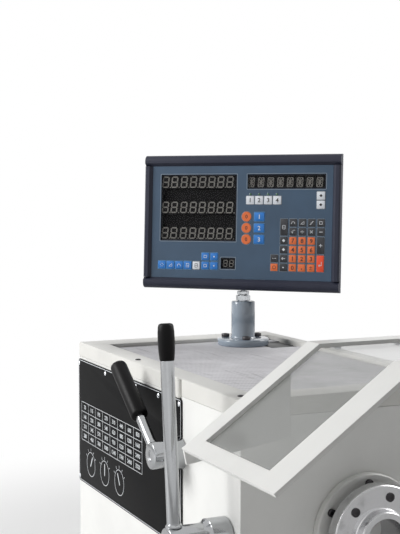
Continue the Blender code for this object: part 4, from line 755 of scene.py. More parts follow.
class HEADSTOCK_OT_cover(Maker, bpy.types.Operator):
    """Top cover with its tray, its screws, and the ribbed mat with a scalloped edge"""
    bl_idname = "headstock.cover"
    bl_label = "Cover and mat"

    def build(self, sizes, colours):
        slot_low = Vector((POST.x + 0.008, COVER_HIGH.y - 0.043, 0))
        slot_high = slot_low + Vector((0.072, 0.022, 0))
        tray_low = Vector((MAT_LOW.x - 0.001, MAT_LOW.y - 0.001, MAT_LOW.z - 0.0003))
        tray_high = Vector((MAT_HIGH.x + 0.001, MAT_HIGH.y + 0.001, TOP + 0.02))
        cover = block("cover_casting", COVER_LOW, COVER_HIGH)
        carve(cover, block("tray", tray_low, tray_high),
              block("slot", (slot_low.x, slot_low.y, COVER_LOW.z - 0.01), (slot_high.x, slot_high.y, TOP)))
        edit(cover)
        pick(cover, lambda at, way: at.z > TOP - 0.0001 or (abs(way.z) > 0.9 and at.z > MAT_LOW.z - 0.002))
        bpy.ops.mesh.bevel(offset=sizes.cover_edge, segments=4, affect="EDGES")
        end_edit()
        dress(cover, "rim_enamel", "head", ["top_cover"])

        mat = block("ribbed_mat", MAT_LOW + Vector((sizes.scallop, 0, 0)), MAT_HIGH)
        count = int((MAT_HIGH.y - MAT_LOW.y) / (2 * sizes.scallop))
        thickness = MAT_HIGH.z - MAT_LOW.z
        scallop = turned("scallop", [(sizes.scallop, 0), (sizes.scallop, thickness)], 16)
        step = (MAT_HIGH.y - MAT_LOW.y) / count
        row = spread(scallop, [(MAT_LOW.x + sizes.scallop, MAT_LOW.y + step * (i + 0.5), MAT_LOW.z)
                               for i in range(count)])
        carve(mat, merged("scallops", row), operation="UNION")
        gap_low = Vector((POST.x - 0.010, POST.y + 0.019, MAT_LOW.z - 0.01))
        gap_high = Vector((POST.x + 0.052, MAT_HIGH.y + 0.01, MAT_HIGH.z + 0.01))
        carve(mat, block("mat_slot", gap_low, gap_high))
        # A black plate down in the mat's slot: painted shade, standing for the dark of the slot beside the
        # post.
        pad = block("slot_shade_plate", (gap_low.x + 0.0004, gap_low.y + 0.0004, MAT_LOW.z + 0.0001),
                    (gap_high.x - 0.0004, MAT_HIGH.y - 0.0002, MAT_LOW.z + 0.0008), 0.0002, 2)
        dress(pad, "socket_black", "head")
        bead = turned("front_bead", [(0.0044, 0), (0.0050, 0.0006), (0.0050, 0.0212), (0.0044, 0.0218)], 32,
                      Matrix.Translation((0.100, FRONT + 0.0008, LABEL_HIGH.z + 0.0007)))
        dress(bead, "rim_enamel", "head")
        soften(mat, 0.0004, 2, 50)
        dress(mat, "grey_mat", "head", ["cover_mat"])

        scatter("cover_screws", socket_screw("rim_screw", 0.0034, 0.0012), rim_screws(),
                "black_oxide", "head")
        inset = 0.006
        corners = [(x, y, MAT_HIGH.z) for x in (MAT_LOW.x + 0.012, MAT_HIGH.x - inset)
                   for y in (MAT_LOW.y + inset, MAT_HIGH.y - inset)]
        scatter("mat_screws", pan_screw("mat_screw", 0.0032, 0.0014), corners, "black_oxide", "head")


class HEADSTOCK_OT_chart(Maker, bpy.types.Operator):
    """Black chart plate with its lines, plain numbers and rivets"""
    bl_idname = "headstock.chart"
    bl_label = "Chart plate"

    def build(self, sizes, colours):
        length, height = LABEL_HIGH.x - LABEL_LOW.x, LABEL_HIGH.z - LABEL_LOW.z
        thickness = LABEL_HIGH.y - LABEL_LOW.y
        middle = (LABEL_LOW + LABEL_HIGH) / 2
        face = Vector((middle.x, LABEL_LOW.y, middle.z))
        hub = anchor("range_lever_turn")
        base = settle(plate("chart_plate", length, height, 0.004, thickness, 6), Matrix.Translation(face))
        carve(base, turned("hub_hole", [(0.0196, -0.02), (0.0196, 0.02)], 48,
                           along((hub.x, face.y, hub.z), (0, -1, 0))))
        soften(base, 0.0003, 2)
        dress(base, "black_label", "head", ["label_plate"])

        lift = -PRINT * 0.6
        lines = [outline("border", length - 0.003, height - 0.003, 0.003, 0.0008)]
        left, top = -length / 2 + 0.012, height / 2 - 0.060
        columns, rows, wide, high = 8, 4, 0.0285, 0.0135
        for row in range(rows + 1):
            z = top - high * row
            lines.append(bar((left, z), (left + wide * columns, z), 0.0007))
        for column in range(columns + 1):
            x = left + wide * column
            lines.append(bar((x, top), (x, top - high * rows), 0.0007))
        base_speeds = (70, 115, 190, 270, 310, 440, 600, 830)
        for row in range(rows):
            for column in range(columns):
                number = numeral(str(base_speeds[column] * (row + 1)), 0.0078)
                lines.append(settle(number, Matrix.Translation(
                    (left + wide * (column + 0.5), 0, top - high * (row + 0.5)))))
        for i, x in enumerate((-0.130, -0.075, -0.020)):
            at = Vector((x, -height / 2 + 0.032))
            dial = outline("dial", 0.034, 0.034, 0.0168, 0.0008, segments=10)
            lines.append(settle(dial, Matrix.Translation((at.x, 0, at.y))))
            for step in range(5):
                way = Vector((cos(radians(30 + 30 * step)), sin(radians(30 + 30 * step))))
                lines.append(bar(at + way * 0.0185, at + way * 0.0225, 0.0008))
            way = Vector((cos(radians(60 + 30 * i)), sin(radians(60 + 30 * i))))
            lines.append(bar(at - way * 0.004, at + way * 0.013, 0.0022, point=0.0009))
        marks = merged("chart_marks", lines, Matrix.Translation(face + Vector((0, lift, 0))))
        dress(marks, "pale_ink", "head", slot="white_key")

        rivet = turned("rivet", [(0.0030, 0), (0.0029, 0.0006), (0.0021, 0.0012), (0.0009, 0.0015)], 20)
        near, far = LABEL_LOW.x + 0.0035, LABEL_HIGH.x - 0.006
        low, high = LABEL_LOW.z + 0.0065, LABEL_HIGH.z - 0.0065
        places = [(x, face.y, z) for x, z in (
            (near, high), (middle.x + 0.04, high), (middle.x + 0.113, high), (middle.x - 0.07, high),
            (near, low), (far, low), (far, high))]
        scatter("chart_rivets", rivet, places, "zinc", "head", Matrix.Rotation(pi / 2, 4, "X"))


def bolt_circle(x, radius, angles):
    """Places round the spindle's axis, at angles in degrees from the Y axis."""
    return [(x, radius * cos(a), SPIN_Z + radius * sin(a)) for a in map(radians, angles)]


class HEADSTOCK_OT_casting(Maker, bpy.types.Operator):
    """Fittings on the housing: sight glass, drain plug, bearing caps, back cover and feet"""
    bl_idname = "headstock.casting"
    bl_label = "Housing fittings"

    def build(self, sizes, colours):
        sides = sizes.rim_sides
        cap = [(0.030, 0.0003), (0.0630, 0.0003), (0.0640, 0.0012), (0.0640, 0.0075), (0.0625, 0.0090),
               (0.0460, 0.0090), (0.0440, 0.0110), (0.0330, 0.0110), (0.0320, 0.0100), (0.0320, 0.0040)]
        for name, x, way in (("nose_cap", RIGHT, 1), ("tail_cap", LEFT, -1)):
            profile = cap if way == 1 else [(r * 0.97, h * 0.22) for r, h in cap]
            ring = turned(name, profile, sides, along((x, 0, SPIN_Z), (way, 0, 0)))
            dress(ring, "white_enamel", "head")
        scatter("nose_cap_screws", socket_screw("cap_screw", 0.0045, 0.0040),
                bolt_circle(RIGHT + 0.0090, 0.054, (30 + 60 * i for i in range(6))), "black_oxide", "head",
                Matrix.Rotation(pi / 2, 4, "Y"))

        def on_front(x, z):
            return along((x, FRONT - 0.0002, z), (0, -1, 0))
        glass = on_front(0.165, 0.062)
        bezel = turned("sight_bezel", [(0.0125, 0), (0.0130, 0.0006), (0.0130, 0.0045), (0.0120, 0.0055),
                                       (0.0100, 0.0055), (0.0095, 0.0048), (0.0095, 0.0030)], 48, glass)
        dress(bezel, "plated_steel", "head")
        lens = turned("sight_glass", [(0.0092, 0.0030), (0.0092, 0.0040), (0.0060, 0.0046)], 32, glass)
        dress(lens, "smoked_lens", "head")
        plug = turned("drain_plug", [(0.0110, 0), (0.0110, 0.0020), (0.0085, 0.0020), (0.0085, 0.0085),
                                     (0.0078, 0.0095)], 6, on_front(0.215, 0.028))
        soften(plug, 0.0004, 2)
        dress(plug, "zinc", "head")

        back = COVER_HIGH.y
        door = plate("back_cover", 0.360, 0.200, 0.014, 0.004, 8)
        settle(door, Matrix.Translation((0, back + 0.0046, 0.160)) @ Matrix.Rotation(pi, 4, "Z"))
        soften(door, 0.0010, 3)
        dress(door, "white_enamel", "head")
        spots = [(x, back + 0.0046, z) for x in (-0.168, -0.056, 0.056, 0.168) for z in (0.072, 0.248)]
        scatter("back_cover_screws", socket_screw("door_screw", 0.0048, 0.0044), spots, "black_oxide", "head",
                Matrix.Rotation(-pi / 2, 4, "X"))

        feet = []
        for x, way in ((LEFT, -1), (RIGHT, 1)):
            low, high = sorted((x + way * 0.0002, x + way * 0.010))
            feet.append(block("foot", (low, FRONT + 0.012, 0.0004), (high, back - 0.012, 0.0170), 0.002, 3))
        dress(merged("bed_feet", feet), "white_enamel", "head")


class HEADSTOCK_OT_pedestal(Maker, bpy.types.Operator):
    """Pedestal: flange, tube, screws, nuts and the threaded stud"""
    bl_idname = "headstock.pedestal"
    bl_label = "Pedestal"

    def build(self, sizes, colours):
        at = Vector((POST.x, POST.y, 0))
        radius = (FOOT_HIGH.x - FOOT_LOW.x) / 2
        thick = FOOT_HIGH.z - FOOT_LOW.z
        foot = turned("pedestal_foot", [
            (radius - 0.0008, 0), (radius, 0.0008), (radius, thick - 0.0018),
            (radius - 0.0006, thick - 0.0006), (radius - 0.0020, thick), (0.0190, thick)], 96,
            Matrix.Translation(at + Vector((0, 0, FOOT_LOW.z))))
        dress(foot, "post_enamel", "head", ["pedestal_flange"], 50)
        tube = (TUBE_HIGH.x - TUBE_LOW.x) / 2
        length = TUBE_HIGH.z - TUBE_LOW.z
        post = turned("pedestal_post", [
            (tube + 0.0016, -0.0002), (tube + 0.0012, 0.0006), (tube + 0.0003, 0.0014), (tube, 0.0022),
            (tube, length * 0.5), (tube, length - 0.0016), (tube - 0.0005, length - 0.0005),
            (tube - 0.0016, length), (0.0052, length)], 96,
            Matrix.Translation(at + Vector((0, 0, TUBE_LOW.z))))
        dress(post, "post_enamel", "head", ["pedestal_tube"], 50)
        for number in (1, 2, 3):
            low, high = span(f"pedestal_screw_{number}")
            middle = (low + high) / 2
            radius, head = (high.x - low.x) / 2, 0.0044
            screw = turned(f"pedestal_bolt_{number}", [
                (0.0030, low.z - high.z + head), (0.0030, 0.0000), (radius * 0.98, 0.0000), (radius, 0.0004),
                (radius, head * 0.84), (radius * 0.92, head), (radius * 0.56, head),
                (radius * 0.54, head * 0.9), (radius * 0.54, head * 0.45)], 32,
                Matrix.Translation((middle.x, middle.y, high.z - head)))
            dress(screw, "black_oxide", "head", [f"pedestal_screw_{number}"])

        for name, node, turn in (("clamp_hexagon", "clamp_nut", 20), ("lock_hexagon", "lock_nut", 37)):
            low, high = span(node)
            flats = 0.018 if node == "clamp_nut" else 0.0150
            tall = high.z - low.z
            nut = turned(name, [(flats / 2 / cos(pi / 6), 0), (flats / 2 / cos(pi / 6), tall)], 6,
                         Matrix.Translation((at.x, at.y, low.z)) @ Matrix.Rotation(radians(turn), 4, "Z"))
            reach = flats / 2
            base = Matrix.Translation((at.x, at.y, low.z))
            cone = turned("cone", [(reach * 0.93, 0), (reach * 1.16, tall * 0.16),
                                   (reach * 1.16, tall * 0.84), (reach * 0.93, tall)], 48, base)
            carve(nut, cone, operation="INTERSECT")
            carve(nut, turned("bore", [(0.0040, -0.01), (0.0040, 0.03)], 32, base))
            dress(nut, "zinc", "console", [node], 25)
        low, high = span("swivel_stud")
        profile, height, pitch = [(0.0030, low.z)], low.z + 0.0006, 0.00125
        while height < high.z - pitch:
            profile += [(0.0031, height), (0.0037, height + pitch * 0.40), (0.0037, height + pitch * 0.60)]
            height += pitch
        profile += [(0.0031, height), (0.0028, high.z)]
        stud = turned("stud_thread", profile, 24, Matrix.Translation(at))
        dress(stud, "zinc", "console", ["swivel_stud"], 25)


# ---------------------------------------------------------------- console

def on_panel(x, z, front):
    """A place on the console's front, at a depth."""
    return Matrix.Translation((x, front, z))


def small(pairs, width, point=0.0):
    """Bars in millimetres: each is ((x, z), (x, z))."""
    return [bar([v / 1000 for v in a], [v / 1000 for v in b], width / 1000, point=point / 1000)
            for a, b in pairs]


def path(points, width):
    """Bars from each point to the next, in millimetres."""
    return small(list(zip(points, points[1:])), width)


def ring(radius, line, sides=5):
    return outline("ring", radius * 2, radius * 2, radius * 0.985, line, segments=sides)


def icon(mark):
    """The printed mark of a key, centred, its front at y = 0."""
    if mark[0].isdigit():
        return numeral(mark, 0.0084)
    shapes = {
        "dot": lambda: small([((-1.1, 0), (1.1, 0))], 2.2, 0.8),
        ".": lambda: small([((-0.8, -1.6), (0.8, -1.6))], 1.6, 0.4),
        "dots": lambda: small([((x - 0.5, 0), (x + 0.5, 0)) for x in (-2.2, 0, 2.2)], 1.1, 0.3),
        "left": lambda: small([((-2.4, 0), (2.6, 0)), ((-2.6, 0), (-0.6, 1.8)),
                               ((-2.6, 0), (-0.6, -1.8))], 0.8),
        "up": lambda: small([((-2.2, 0), (2.2, 0))], 4.4, 2.1),
        "down": lambda: small([((-2.2, 0), (2.2, 0))], 4.4, 2.1),
        "root": lambda: path([(-3, 0), (-2, 0.3), (-1, -2.2), (0.2, 2.2), (3.2, 2.2)], 0.6),
        "÷": lambda: small([((-2.4, 0), (2.4, 0)), ((-0.4, 1.7), (0.4, 1.7)),
                            ((-0.4, -1.7), (0.4, -1.7))], 0.8),
        "×": lambda: small([((-1.8, -1.8), (1.8, 1.8)), ((-1.8, 1.8), (1.8, -1.8))], 0.8),
        "minus": lambda: small([((-2.3, 0), (2.3, 0))], 0.9),
        "plus": lambda: small([((-2.3, 0), (2.3, 0)), ((0, -2.3), (0, 2.3))], 0.9),
        "±": lambda: small([((-1.9, 0.7), (1.9, 0.7)), ((0, -1.0), (0, 2.4)),
                            ((-1.9, -2.2), (1.9, -2.2))], 0.7),
        "arc": lambda: path([(-2.6, -1.8), (-1.9, 0.6), (0, 1.8), (1.9, 0.6), (2.6, -1.8)], 0.7),
        "slope": lambda: small([((-2.6, -2), (2.6, -2)), ((-2.6, -2), (2.4, 2)), ((2.4, -2), (2.4, 2))], 0.6),
        "steps": lambda: path([(-2.8, -2), (-0.9, -2), (-0.9, 0), (1, 0), (1, 2), (2.8, 2)], 0.7),
        "square": lambda: [outline("box", 0.0048, 0.0042, 0.0003, 0.0007)],
        "half": lambda: [outline("box", 0.0046, 0.0056, 0.0009, 0.0006),
                         *small([((-1.5, 0), (1.5, 0))], 0.6)],
        "return": lambda: small([((-2.2, -2.6), (1.6, -2.6)), ((1.6, -2.6), (1.6, 2.6)),
                                 ((-2.4, -2.6), (-0.8, -1.2)), ((-2.4, -2.6), (-0.8, -4.0))], 0.8),
        "ring": lambda: [ring(0.0026, 0.0007)],
        "holes": lambda: small([((2.2 * cos(a) - 0.5, 2.2 * sin(a)), (2.2 * cos(a) + 0.5, 2.2 * sin(a)))
                                for a in (pi / 3 * i for i in range(6))], 1.0, 0.3),
    }
    return merged(f"mark_{mark}", shapes[mark]())


class HEADSTOCK_OT_keys(Maker, bpy.types.Operator):
    """Key caps with softened corners, and the printed marks on them"""
    bl_idname = "headstock.keys"
    bl_label = "Keys"

    def build(self, sizes, colours):
        back = 0.0029
        for node, (finish, entries) in KEYS.items():
            caps, marks = [], []
            for (x, z), (width, height), mark in entries:
                cap = plate("cap", width, height, sizes.key_corner, back - KEY_FRONT, 3)
                caps.append(settle(cap, on_panel(x, z, KEY_FRONT)))
                marks.append(settle(icon(mark), on_panel(x, z, KEY_FRONT - PRINT * 0.6)))
            caps = merged(f"{node}_caps", caps)
            soften(caps, 0.00022, 2)
            settle(caps, CONSOLE)
            dress(caps, finish, f"{node}_body", [node])
            ink = "dark_ink" if finish in ("orange_key", "white_key") else "pale_ink"
            marks = merged(f"{node}_marks", marks, CONSOLE)
            dress(marks, ink, f"{node}_body", slot="black_key" if ink == "dark_ink" else "white_key")
        caps, marks = [], []
        for i in range(3):
            at = along((AXIS_X, 0, AXIS_Z - AXIS_DZ * i), (0, -1, 0))
            caps.append(turned("round_cap", [(AXIS_R, -back), (AXIS_R, -KEY_FRONT - 0.0003),
                                             (AXIS_R - 0.0003, -KEY_FRONT)], 48, at))
            zero = on_panel(AXIS_X, AXIS_Z - AXIS_DZ * i, KEY_FRONT - PRINT * 0.6)
            marks.append(settle(numeral("0", 0.0072), zero))
        dress(merged("axis_zero_caps", caps, CONSOLE), "orange_key", "axis_zero_keys_body",
              ["axis_zero_keys"])
        dress(merged("axis_zero_marks", marks, CONSOLE), "dark_ink", "axis_zero_keys_body",
              slot="black_key")


class HEADSTOCK_OT_panel_print(Maker, bpy.types.Operator):
    """Printed lines round the windows and the keys, and the small lamps"""
    bl_idname = "headstock.panel_print"
    bl_label = "Panel print"

    def build(self, sizes, colours):
        front = PANEL_Y - PRINT * 0.7
        lines, blue_lines = [], []

        def frame_line(x, z, width, height, radius, line, group=lines):
            made = outline("line", width, height, radius, line, segments=3)
            group.append(settle(made, on_panel(x, z, front)))
        for x, z, width, height in WINDOWS.values():
            frame_line(x, z, width + 0.0032, height + 0.0032, 0.0018, 0.0007)
        grow = 2 * sizes.key_line + 0.0005
        for finish, entries in KEYS.values():
            for (x, z), (width, height), mark in entries:
                frame_line(x, z, width + grow, height + grow, sizes.key_corner * 1.4, sizes.key_line,
                           blue_lines if finish == "blue_key" else lines)
        for i in range(3):
            made = ring(AXIS_R + grow / 2, sizes.key_line, 10)
            lines.append(settle(made, on_panel(AXIS_X, AXIS_Z - AXIS_DZ * i, front)))
        dress(merged("panel_lines", lines, CONSOLE), "key_line", "console", slot="white_key")
        dress(merged("blue_key_lines", blue_lines, CONSOLE), "blue_line", "console", slot="blue_key")
        lamps = [turned("lamp", [(0.0016, 0), (0.0016, 0.0003), (0.0010, 0.0006)], 20,
                        along((x, PANEL_Y, 0.0398), (0, -1, 0))) for x in (0.0151, 0.0279, 0.0410, 0.0538)]
        dress(merged("status_lamps", lamps, CONSOLE), "lamp_green", "console", slot="smoked_lens")


def digit(height, width, line, slant, middle=False):
    """Bars of one display digit: seven, or sixteen with the middle ones."""
    def at(x, z):
        return x * width / 2 + slant * z * height / 2, z * height / 2
    gap = 0.05
    bars = []
    side = 1 - line / height
    if not middle:
        spots = [((-1, side), (1, side)), ((-1, 0), (1, 0)), ((-1, -side), (1, -side))]
        spots += [((x, z * side), (x, 0)) for x in (-1, 1) for z in (-1, 1)]
    else:
        spots = [((a, z), (a + 1, z)) for a in (-1, 0) for z in (side, 0, -side)]
        spots += [((x, z * side), (x, 0)) for x in (-1, 0, 1) for z in (-1, 1)]
        spots += [((x, z * side), (0, 0)) for x in (-1, 1) for z in (-1, 1)]
    for a, b in spots:
        a, b = Vector(at(*a)), Vector(at(*b))
        way = (b - a) * gap
        bars.append(bar(a + way, b - way, line, 0.0003, line * 0.42))
    return bars


class HEADSTOCK_OT_digits(Maker, bpy.types.Operator):
    """Raised segments behind the smoked windows"""
    bl_idname = "headstock.digits"
    bl_label = "Display digits"

    def build(self, sizes, colours):
        front = 0.00435
        big = merged("axis_digit", digit(sizes.digit_height, 0.0084, 0.0018, sizes.digit_slant)
                     + [bar((0.0062, -0.0075), (0.0078, -0.0075), 0.0016, 0.0003, 0.0005)])
        places = [(x / 1000 - 0.0031, front, z / 1000) for z in (57.4, 21.1, -15.8)
                  for x in (-111.3, -97.7, -82.9, -68.6, -54.8, -40.8, -27.2, -13.4)]
        digits = spread(big, places)
        letters = merged("letter", digit(0.0138, 0.0082, 0.0011, sizes.digit_slant * 0.6, True))
        digits += spread(letters, [(0.0154 + 0.01411 * i, front, 0.0569) for i in range(8)])
        lesser = merged("mode_digit", digit(0.0100, 0.0054, 0.0011, sizes.digit_slant))
        digits += spread(lesser, [(x, front, -0.0581) for x in (-0.0212, -0.0120)])
        dress(merged("display_segments", digits, CONSOLE), "segment", "console", slot="digit_block")


class HEADSTOCK_OT_case(Maker, bpy.types.Operator):
    """Console case fittings: louvres, screws, connector sockets, pins and the rating plate"""
    bl_idname = "headstock.case"
    bl_label = "Console case"

    def build(self, sizes, colours):
        rear = DEPTH
        vents = [(x, -0.018 - 0.0075 * i) for x in (-0.060, 0.060) for i in range(6)]
        louvres = [block("louvre", (x - 0.026, rear - 0.0010, z - 0.0012),
                         (x + 0.026, rear + 0.0018, z + 0.0016), 0.0011, 3) for x, z in vents]
        dress(merged("case_louvres", louvres, CONSOLE), "shell_paint", "console")
        # Black strips under the louvres: painted shade in the vent slots.
        shade = [block("shade", (x - 0.025, rear - 0.0004, z - 0.0034),
                       (x + 0.025, rear + 0.0002, z - 0.0014)) for x, z in vents]
        dress(merged("louvre_slot_shade", shade, CONSOLE), "socket_black", "console")
        spots = [(x, rear, z) for x, z in (
            (-0.118, -0.078), (-0.118, 0.078), (0.118, -0.078), (0.118, 0.078), (0, 0.078), (0, -0.078))]
        backwards = Matrix.Rotation(-pi / 2, 4, "X")
        scatter("case_screws", pan_screw("case_screw", 0.0033, 0.0018), spots, "black_oxide", "console",
                backwards, CONSOLE)
        sockets, level = (-0.100, -0.060, -0.020), 0.034
        jacks = [turned("jack", [(0.0026, 0), (0.0026, 0.0042), (0.0018, 0.0050)], 6,
                        along((x + side * 0.0105, rear + 0.0050, level), (0, 1, 0)))
                 for x in sockets for side in (-1, 1)]
        dress(merged("jack_screws", jacks, CONSOLE), "zinc", "console")
        pins = [(x + (i - (count - 1) / 2) * 0.00277, rear + 0.0062, level + row)
                for x in sockets for row, count in ((0.0013, 5), (-0.0013, 4)) for i in range(count)]
        pin = turned("pin", [(0.0005, 0), (0.0005, 0.0012), (0.0002, 0.0016)], 10, backwards)
        scatter("connector_pins", pin, pins, "zinc", "console", frame=CONSOLE)
        rating = plate("rating_plate", 0.052, 0.020, 0.0015, 0.0003)
        on_rear = Matrix.Translation((0.0, rear + 0.0004, -0.001)) @ Matrix.Rotation(pi, 4, "Z")
        settle(rating, CONSOLE @ on_rear)
        dress(rating, "plated_steel", "console")


# ---------------------------------------------------------------- levers, guard, spindle

LEVERS = {
    "speed": dict(hub=0.021, lean=5.7, plane=0.060, rod=0.00725, start=0.1885, grip=[
        (0.0073, 0), (0.0079, 0.002), (0.0087, 0.010), (0.0090, 0.0205), (0.0088, 0.030), (0.0082, 0.036),
        (0.0072, 0.0382), (0.0050, 0.039)]),
    "range": dict(hub=0.019, lean=55, plane=0.030, rod=0.0060, start=0.062, grip=[
        (0.0085, 0), (0.0098, 0.0012), (0.01035, 0.0030), (0.01035, 0.083), (0.0098, 0.0865),
        (0.0075, 0.0885)]),
}


class HEADSTOCK_OT_levers(Maker, bpy.types.Operator):
    """Both shift levers: hubs, chromed rods and black grips"""
    bl_idname = "headstock.levers"
    bl_label = "Levers"

    def build(self, sizes, colours):
        sides = sizes.rim_sides
        for name, shape in LEVERS.items():
            pivot = anchor(f"{name}_lever_turn")
            radius, plane, lean = shape["hub"], shape["plane"], radians(shape["lean"])
            thick, start = shape["rod"], shape["start"]
            neck = 0.82 * radius
            tall = plane + 0.45 * radius
            face = Vector((pivot.x, FRONT, pivot.z))
            body = f"{name}_lever"
            hub = turned(f"{name}_hub", [
                (radius - 0.0006, 0.0004), (radius, 0.0010), (radius, 0.35 * tall - 0.001),
                (radius - 0.001, 0.35 * tall), (0.84 * radius, 0.40 * tall), (neck, 0.45 * tall),
                (neck, tall - 0.0022), (neck - 0.0007, tall - 0.0008), (neck - 0.0022, tall),
                (0.34 * radius, tall),
                (0.30 * radius, tall - 0.0012)], sides, along(face, (0, -1, 0)))
            dress(hub, "chrome", body, [f"{name}_lever_hub"])
            way = Vector((-sin(lean), 0, cos(lean)))
            root = Vector((pivot.x, FRONT - plane, pivot.z))
            axis = along(root, way)
            rod = turned(f"{name}_rod", [(thick, neck - 0.006), (thick, start - 0.0006),
                                         (thick * 0.93, start + 0.001)], sides, axis)
            collar = [(thick + 0.0014, neck - 0.0010), (thick + 0.0016, neck + 0.0006),
                      (thick + 0.0010, neck + 0.0022), (thick - 0.0004, neck + 0.0028)]
            rod = merged(f"{name}_rod", [rod, turned("collar", collar, sides, axis)])
            dress(rod, "chrome", body, [f"{name}_lever_rod"])
            grip = turned(f"{name}_grip", [(r, start + h) for r, h in shape["grip"]], sides, axis)
            dress(grip, "grip_black", body, [f"{name}_lever_grip"], 60)


class HEADSTOCK_OT_spindle(Maker, bpy.types.Operator):
    """Spindle with its bored nose, its nose screws and the belt pulley"""
    bl_idname = "headstock.spindle"
    bl_label = "Spindle and pulley"

    def build(self, sizes, colours):
        along_x = along((0, 0, SPIN_Z), (1, 0, 0))
        low, high = span("spindle")
        bore, body, nose = 0.0200, 0.0290, 0.0570
        spindle = turned("spindle_nose", [
            (bore, low.x + 0.040), (bore, low.x + 0.001), (bore + 0.001, low.x), (body - 0.001, low.x),
            (body, low.x + 0.001), (body, 0.2718), (nose - 0.001, 0.2718), (nose, 0.2728), (nose, 0.2860),
            (nose - 0.001, 0.2870), (0.0325, 0.2870), (0.0315, 0.2878), (0.0305, high.x - 0.001),
            (0.0295, high.x), (0.0235, high.x), (bore, high.x - 0.030), (bore, high.x - 0.060)], 96, along_x)
        dress(spindle, "ground_steel", "spindle_body", ["spindle"])
        places = bolt_circle(0.2870, 0.0445, (15, 135, 255, 75, 195, 315))
        scatter("nose_screws", socket_screw("nose_screw", 0.0050, 0.0014, 28), places, "black_oxide",
                "spindle_body", Matrix.Rotation(pi / 2, 4, "Y"))

        low, high = span("input_pulley")
        middle = (low + high) / 2
        rim = (high.z - low.z) / 2
        width = high.x - low.x
        deep, lip = 0.0100, width * 0.10
        half = (width - 3 * lip) / 2
        outer, inner = half / 2, half * 0.18
        profile = [(0.0085, 0.004), (0.0085, 0.0005), (0.016, 0), (0.0165, 0.0040), (rim - 0.014, 0.0050),
                   (rim - 0.0135, 0.0), (rim - 0.0006, 0), (rim, 0.0006)]
        at = lip
        for groove in range(2):
            profile += [(rim, at - 0.0002), (rim - deep, at + outer - inner),
                        (rim - deep, at + outer + inner), (rim, at + 2 * outer + 0.0002)]
            at += half + lip
        profile += [(rim, width - 0.0006), (rim - 0.0006, width), (0.030, width), (0.029, width - 0.003)]
        pulley = turned("belt_pulley", profile, 96, along((low.x, middle.y, middle.z), (1, 0, 0)))
        dress(pulley, "cast_steel", "input_body", ["input_pulley"])


class HEADSTOCK_OT_guard(Maker, bpy.types.Operator):
    """Guard fittings: button screws under the clear sheet, a cap on the pivot rod and the stand's bolts"""
    bl_idname = "headstock.guard"
    bl_label = "Guard fittings"

    def build(self, sizes, colours):
        hinge = anchor("guard_hinge")
        bend, lip = Vector((0, -0.2008, 0.0094)), Vector((0, -0.340, -0.0864))
        top = Vector((0, 0, 0.0095))
        screws = []
        for start, end, shares in ((top, bend, (0.16, 0.50, 0.86)), (bend, lip, (0.20, 0.55))):
            way = (end - start).normalized()
            out = Vector((0, way.z, -way.y))
            out = out if out.z > 0 else -out
            for share in shares:
                for x in (0.3075, 0.4635):
                    at = Vector((x, hinge.y, hinge.z)) + start + (end - start) * share
                    screws.append(button_screw(at - out * 0.0064, -out))
        dress(merged("guard_screws", screws), "zinc", "guard")
        low, high = span("guard_bracket")
        foot = low.z + 0.0081
        places = [((low.x + high.x) / 2, y, foot) for y in (low.y + 0.0055, high.y - 0.0055)]
        scatter("stand_bolts", socket_screw("stand_bolt", 0.0036, 0.0036, 28), places, "black_oxide", "head")
        end = span("guard_hinge_rod")[1].x
        cap = turned("rod_cap", [(0.0066, -0.0034), (0.0074, -0.0028), (0.0074, -0.0008), (0.0062, 0)], 40,
                     along((end, hinge.y, hinge.z), (1, 0, 0)))
        dress(cap, "zinc", "head")


def button_screw(at, out):
    """A button screw whose head points along a direction."""
    return turned("button_screw", [(0.0038, -0.0002), (0.0038, 0.0006), (0.0031, 0.0016), (0.0018, 0.0021),
                                   (0.0017, 0.0012)], 20, along(at, out))


# ---------------------------------------------------------------- stage

def area(name, place, target, size, power):
    """A square soft lamp at a place, aimed at a target."""
    deselect()
    bpy.ops.object.light_add(type="AREA", location=place)
    lamp = bpy.context.object
    lamp.name = name
    lamp.data.size = size
    lamp.data.energy = power
    lamp.rotation_euler = (Vector(target) - Vector(place)).to_track_quat("-Z", "Y").to_euler()


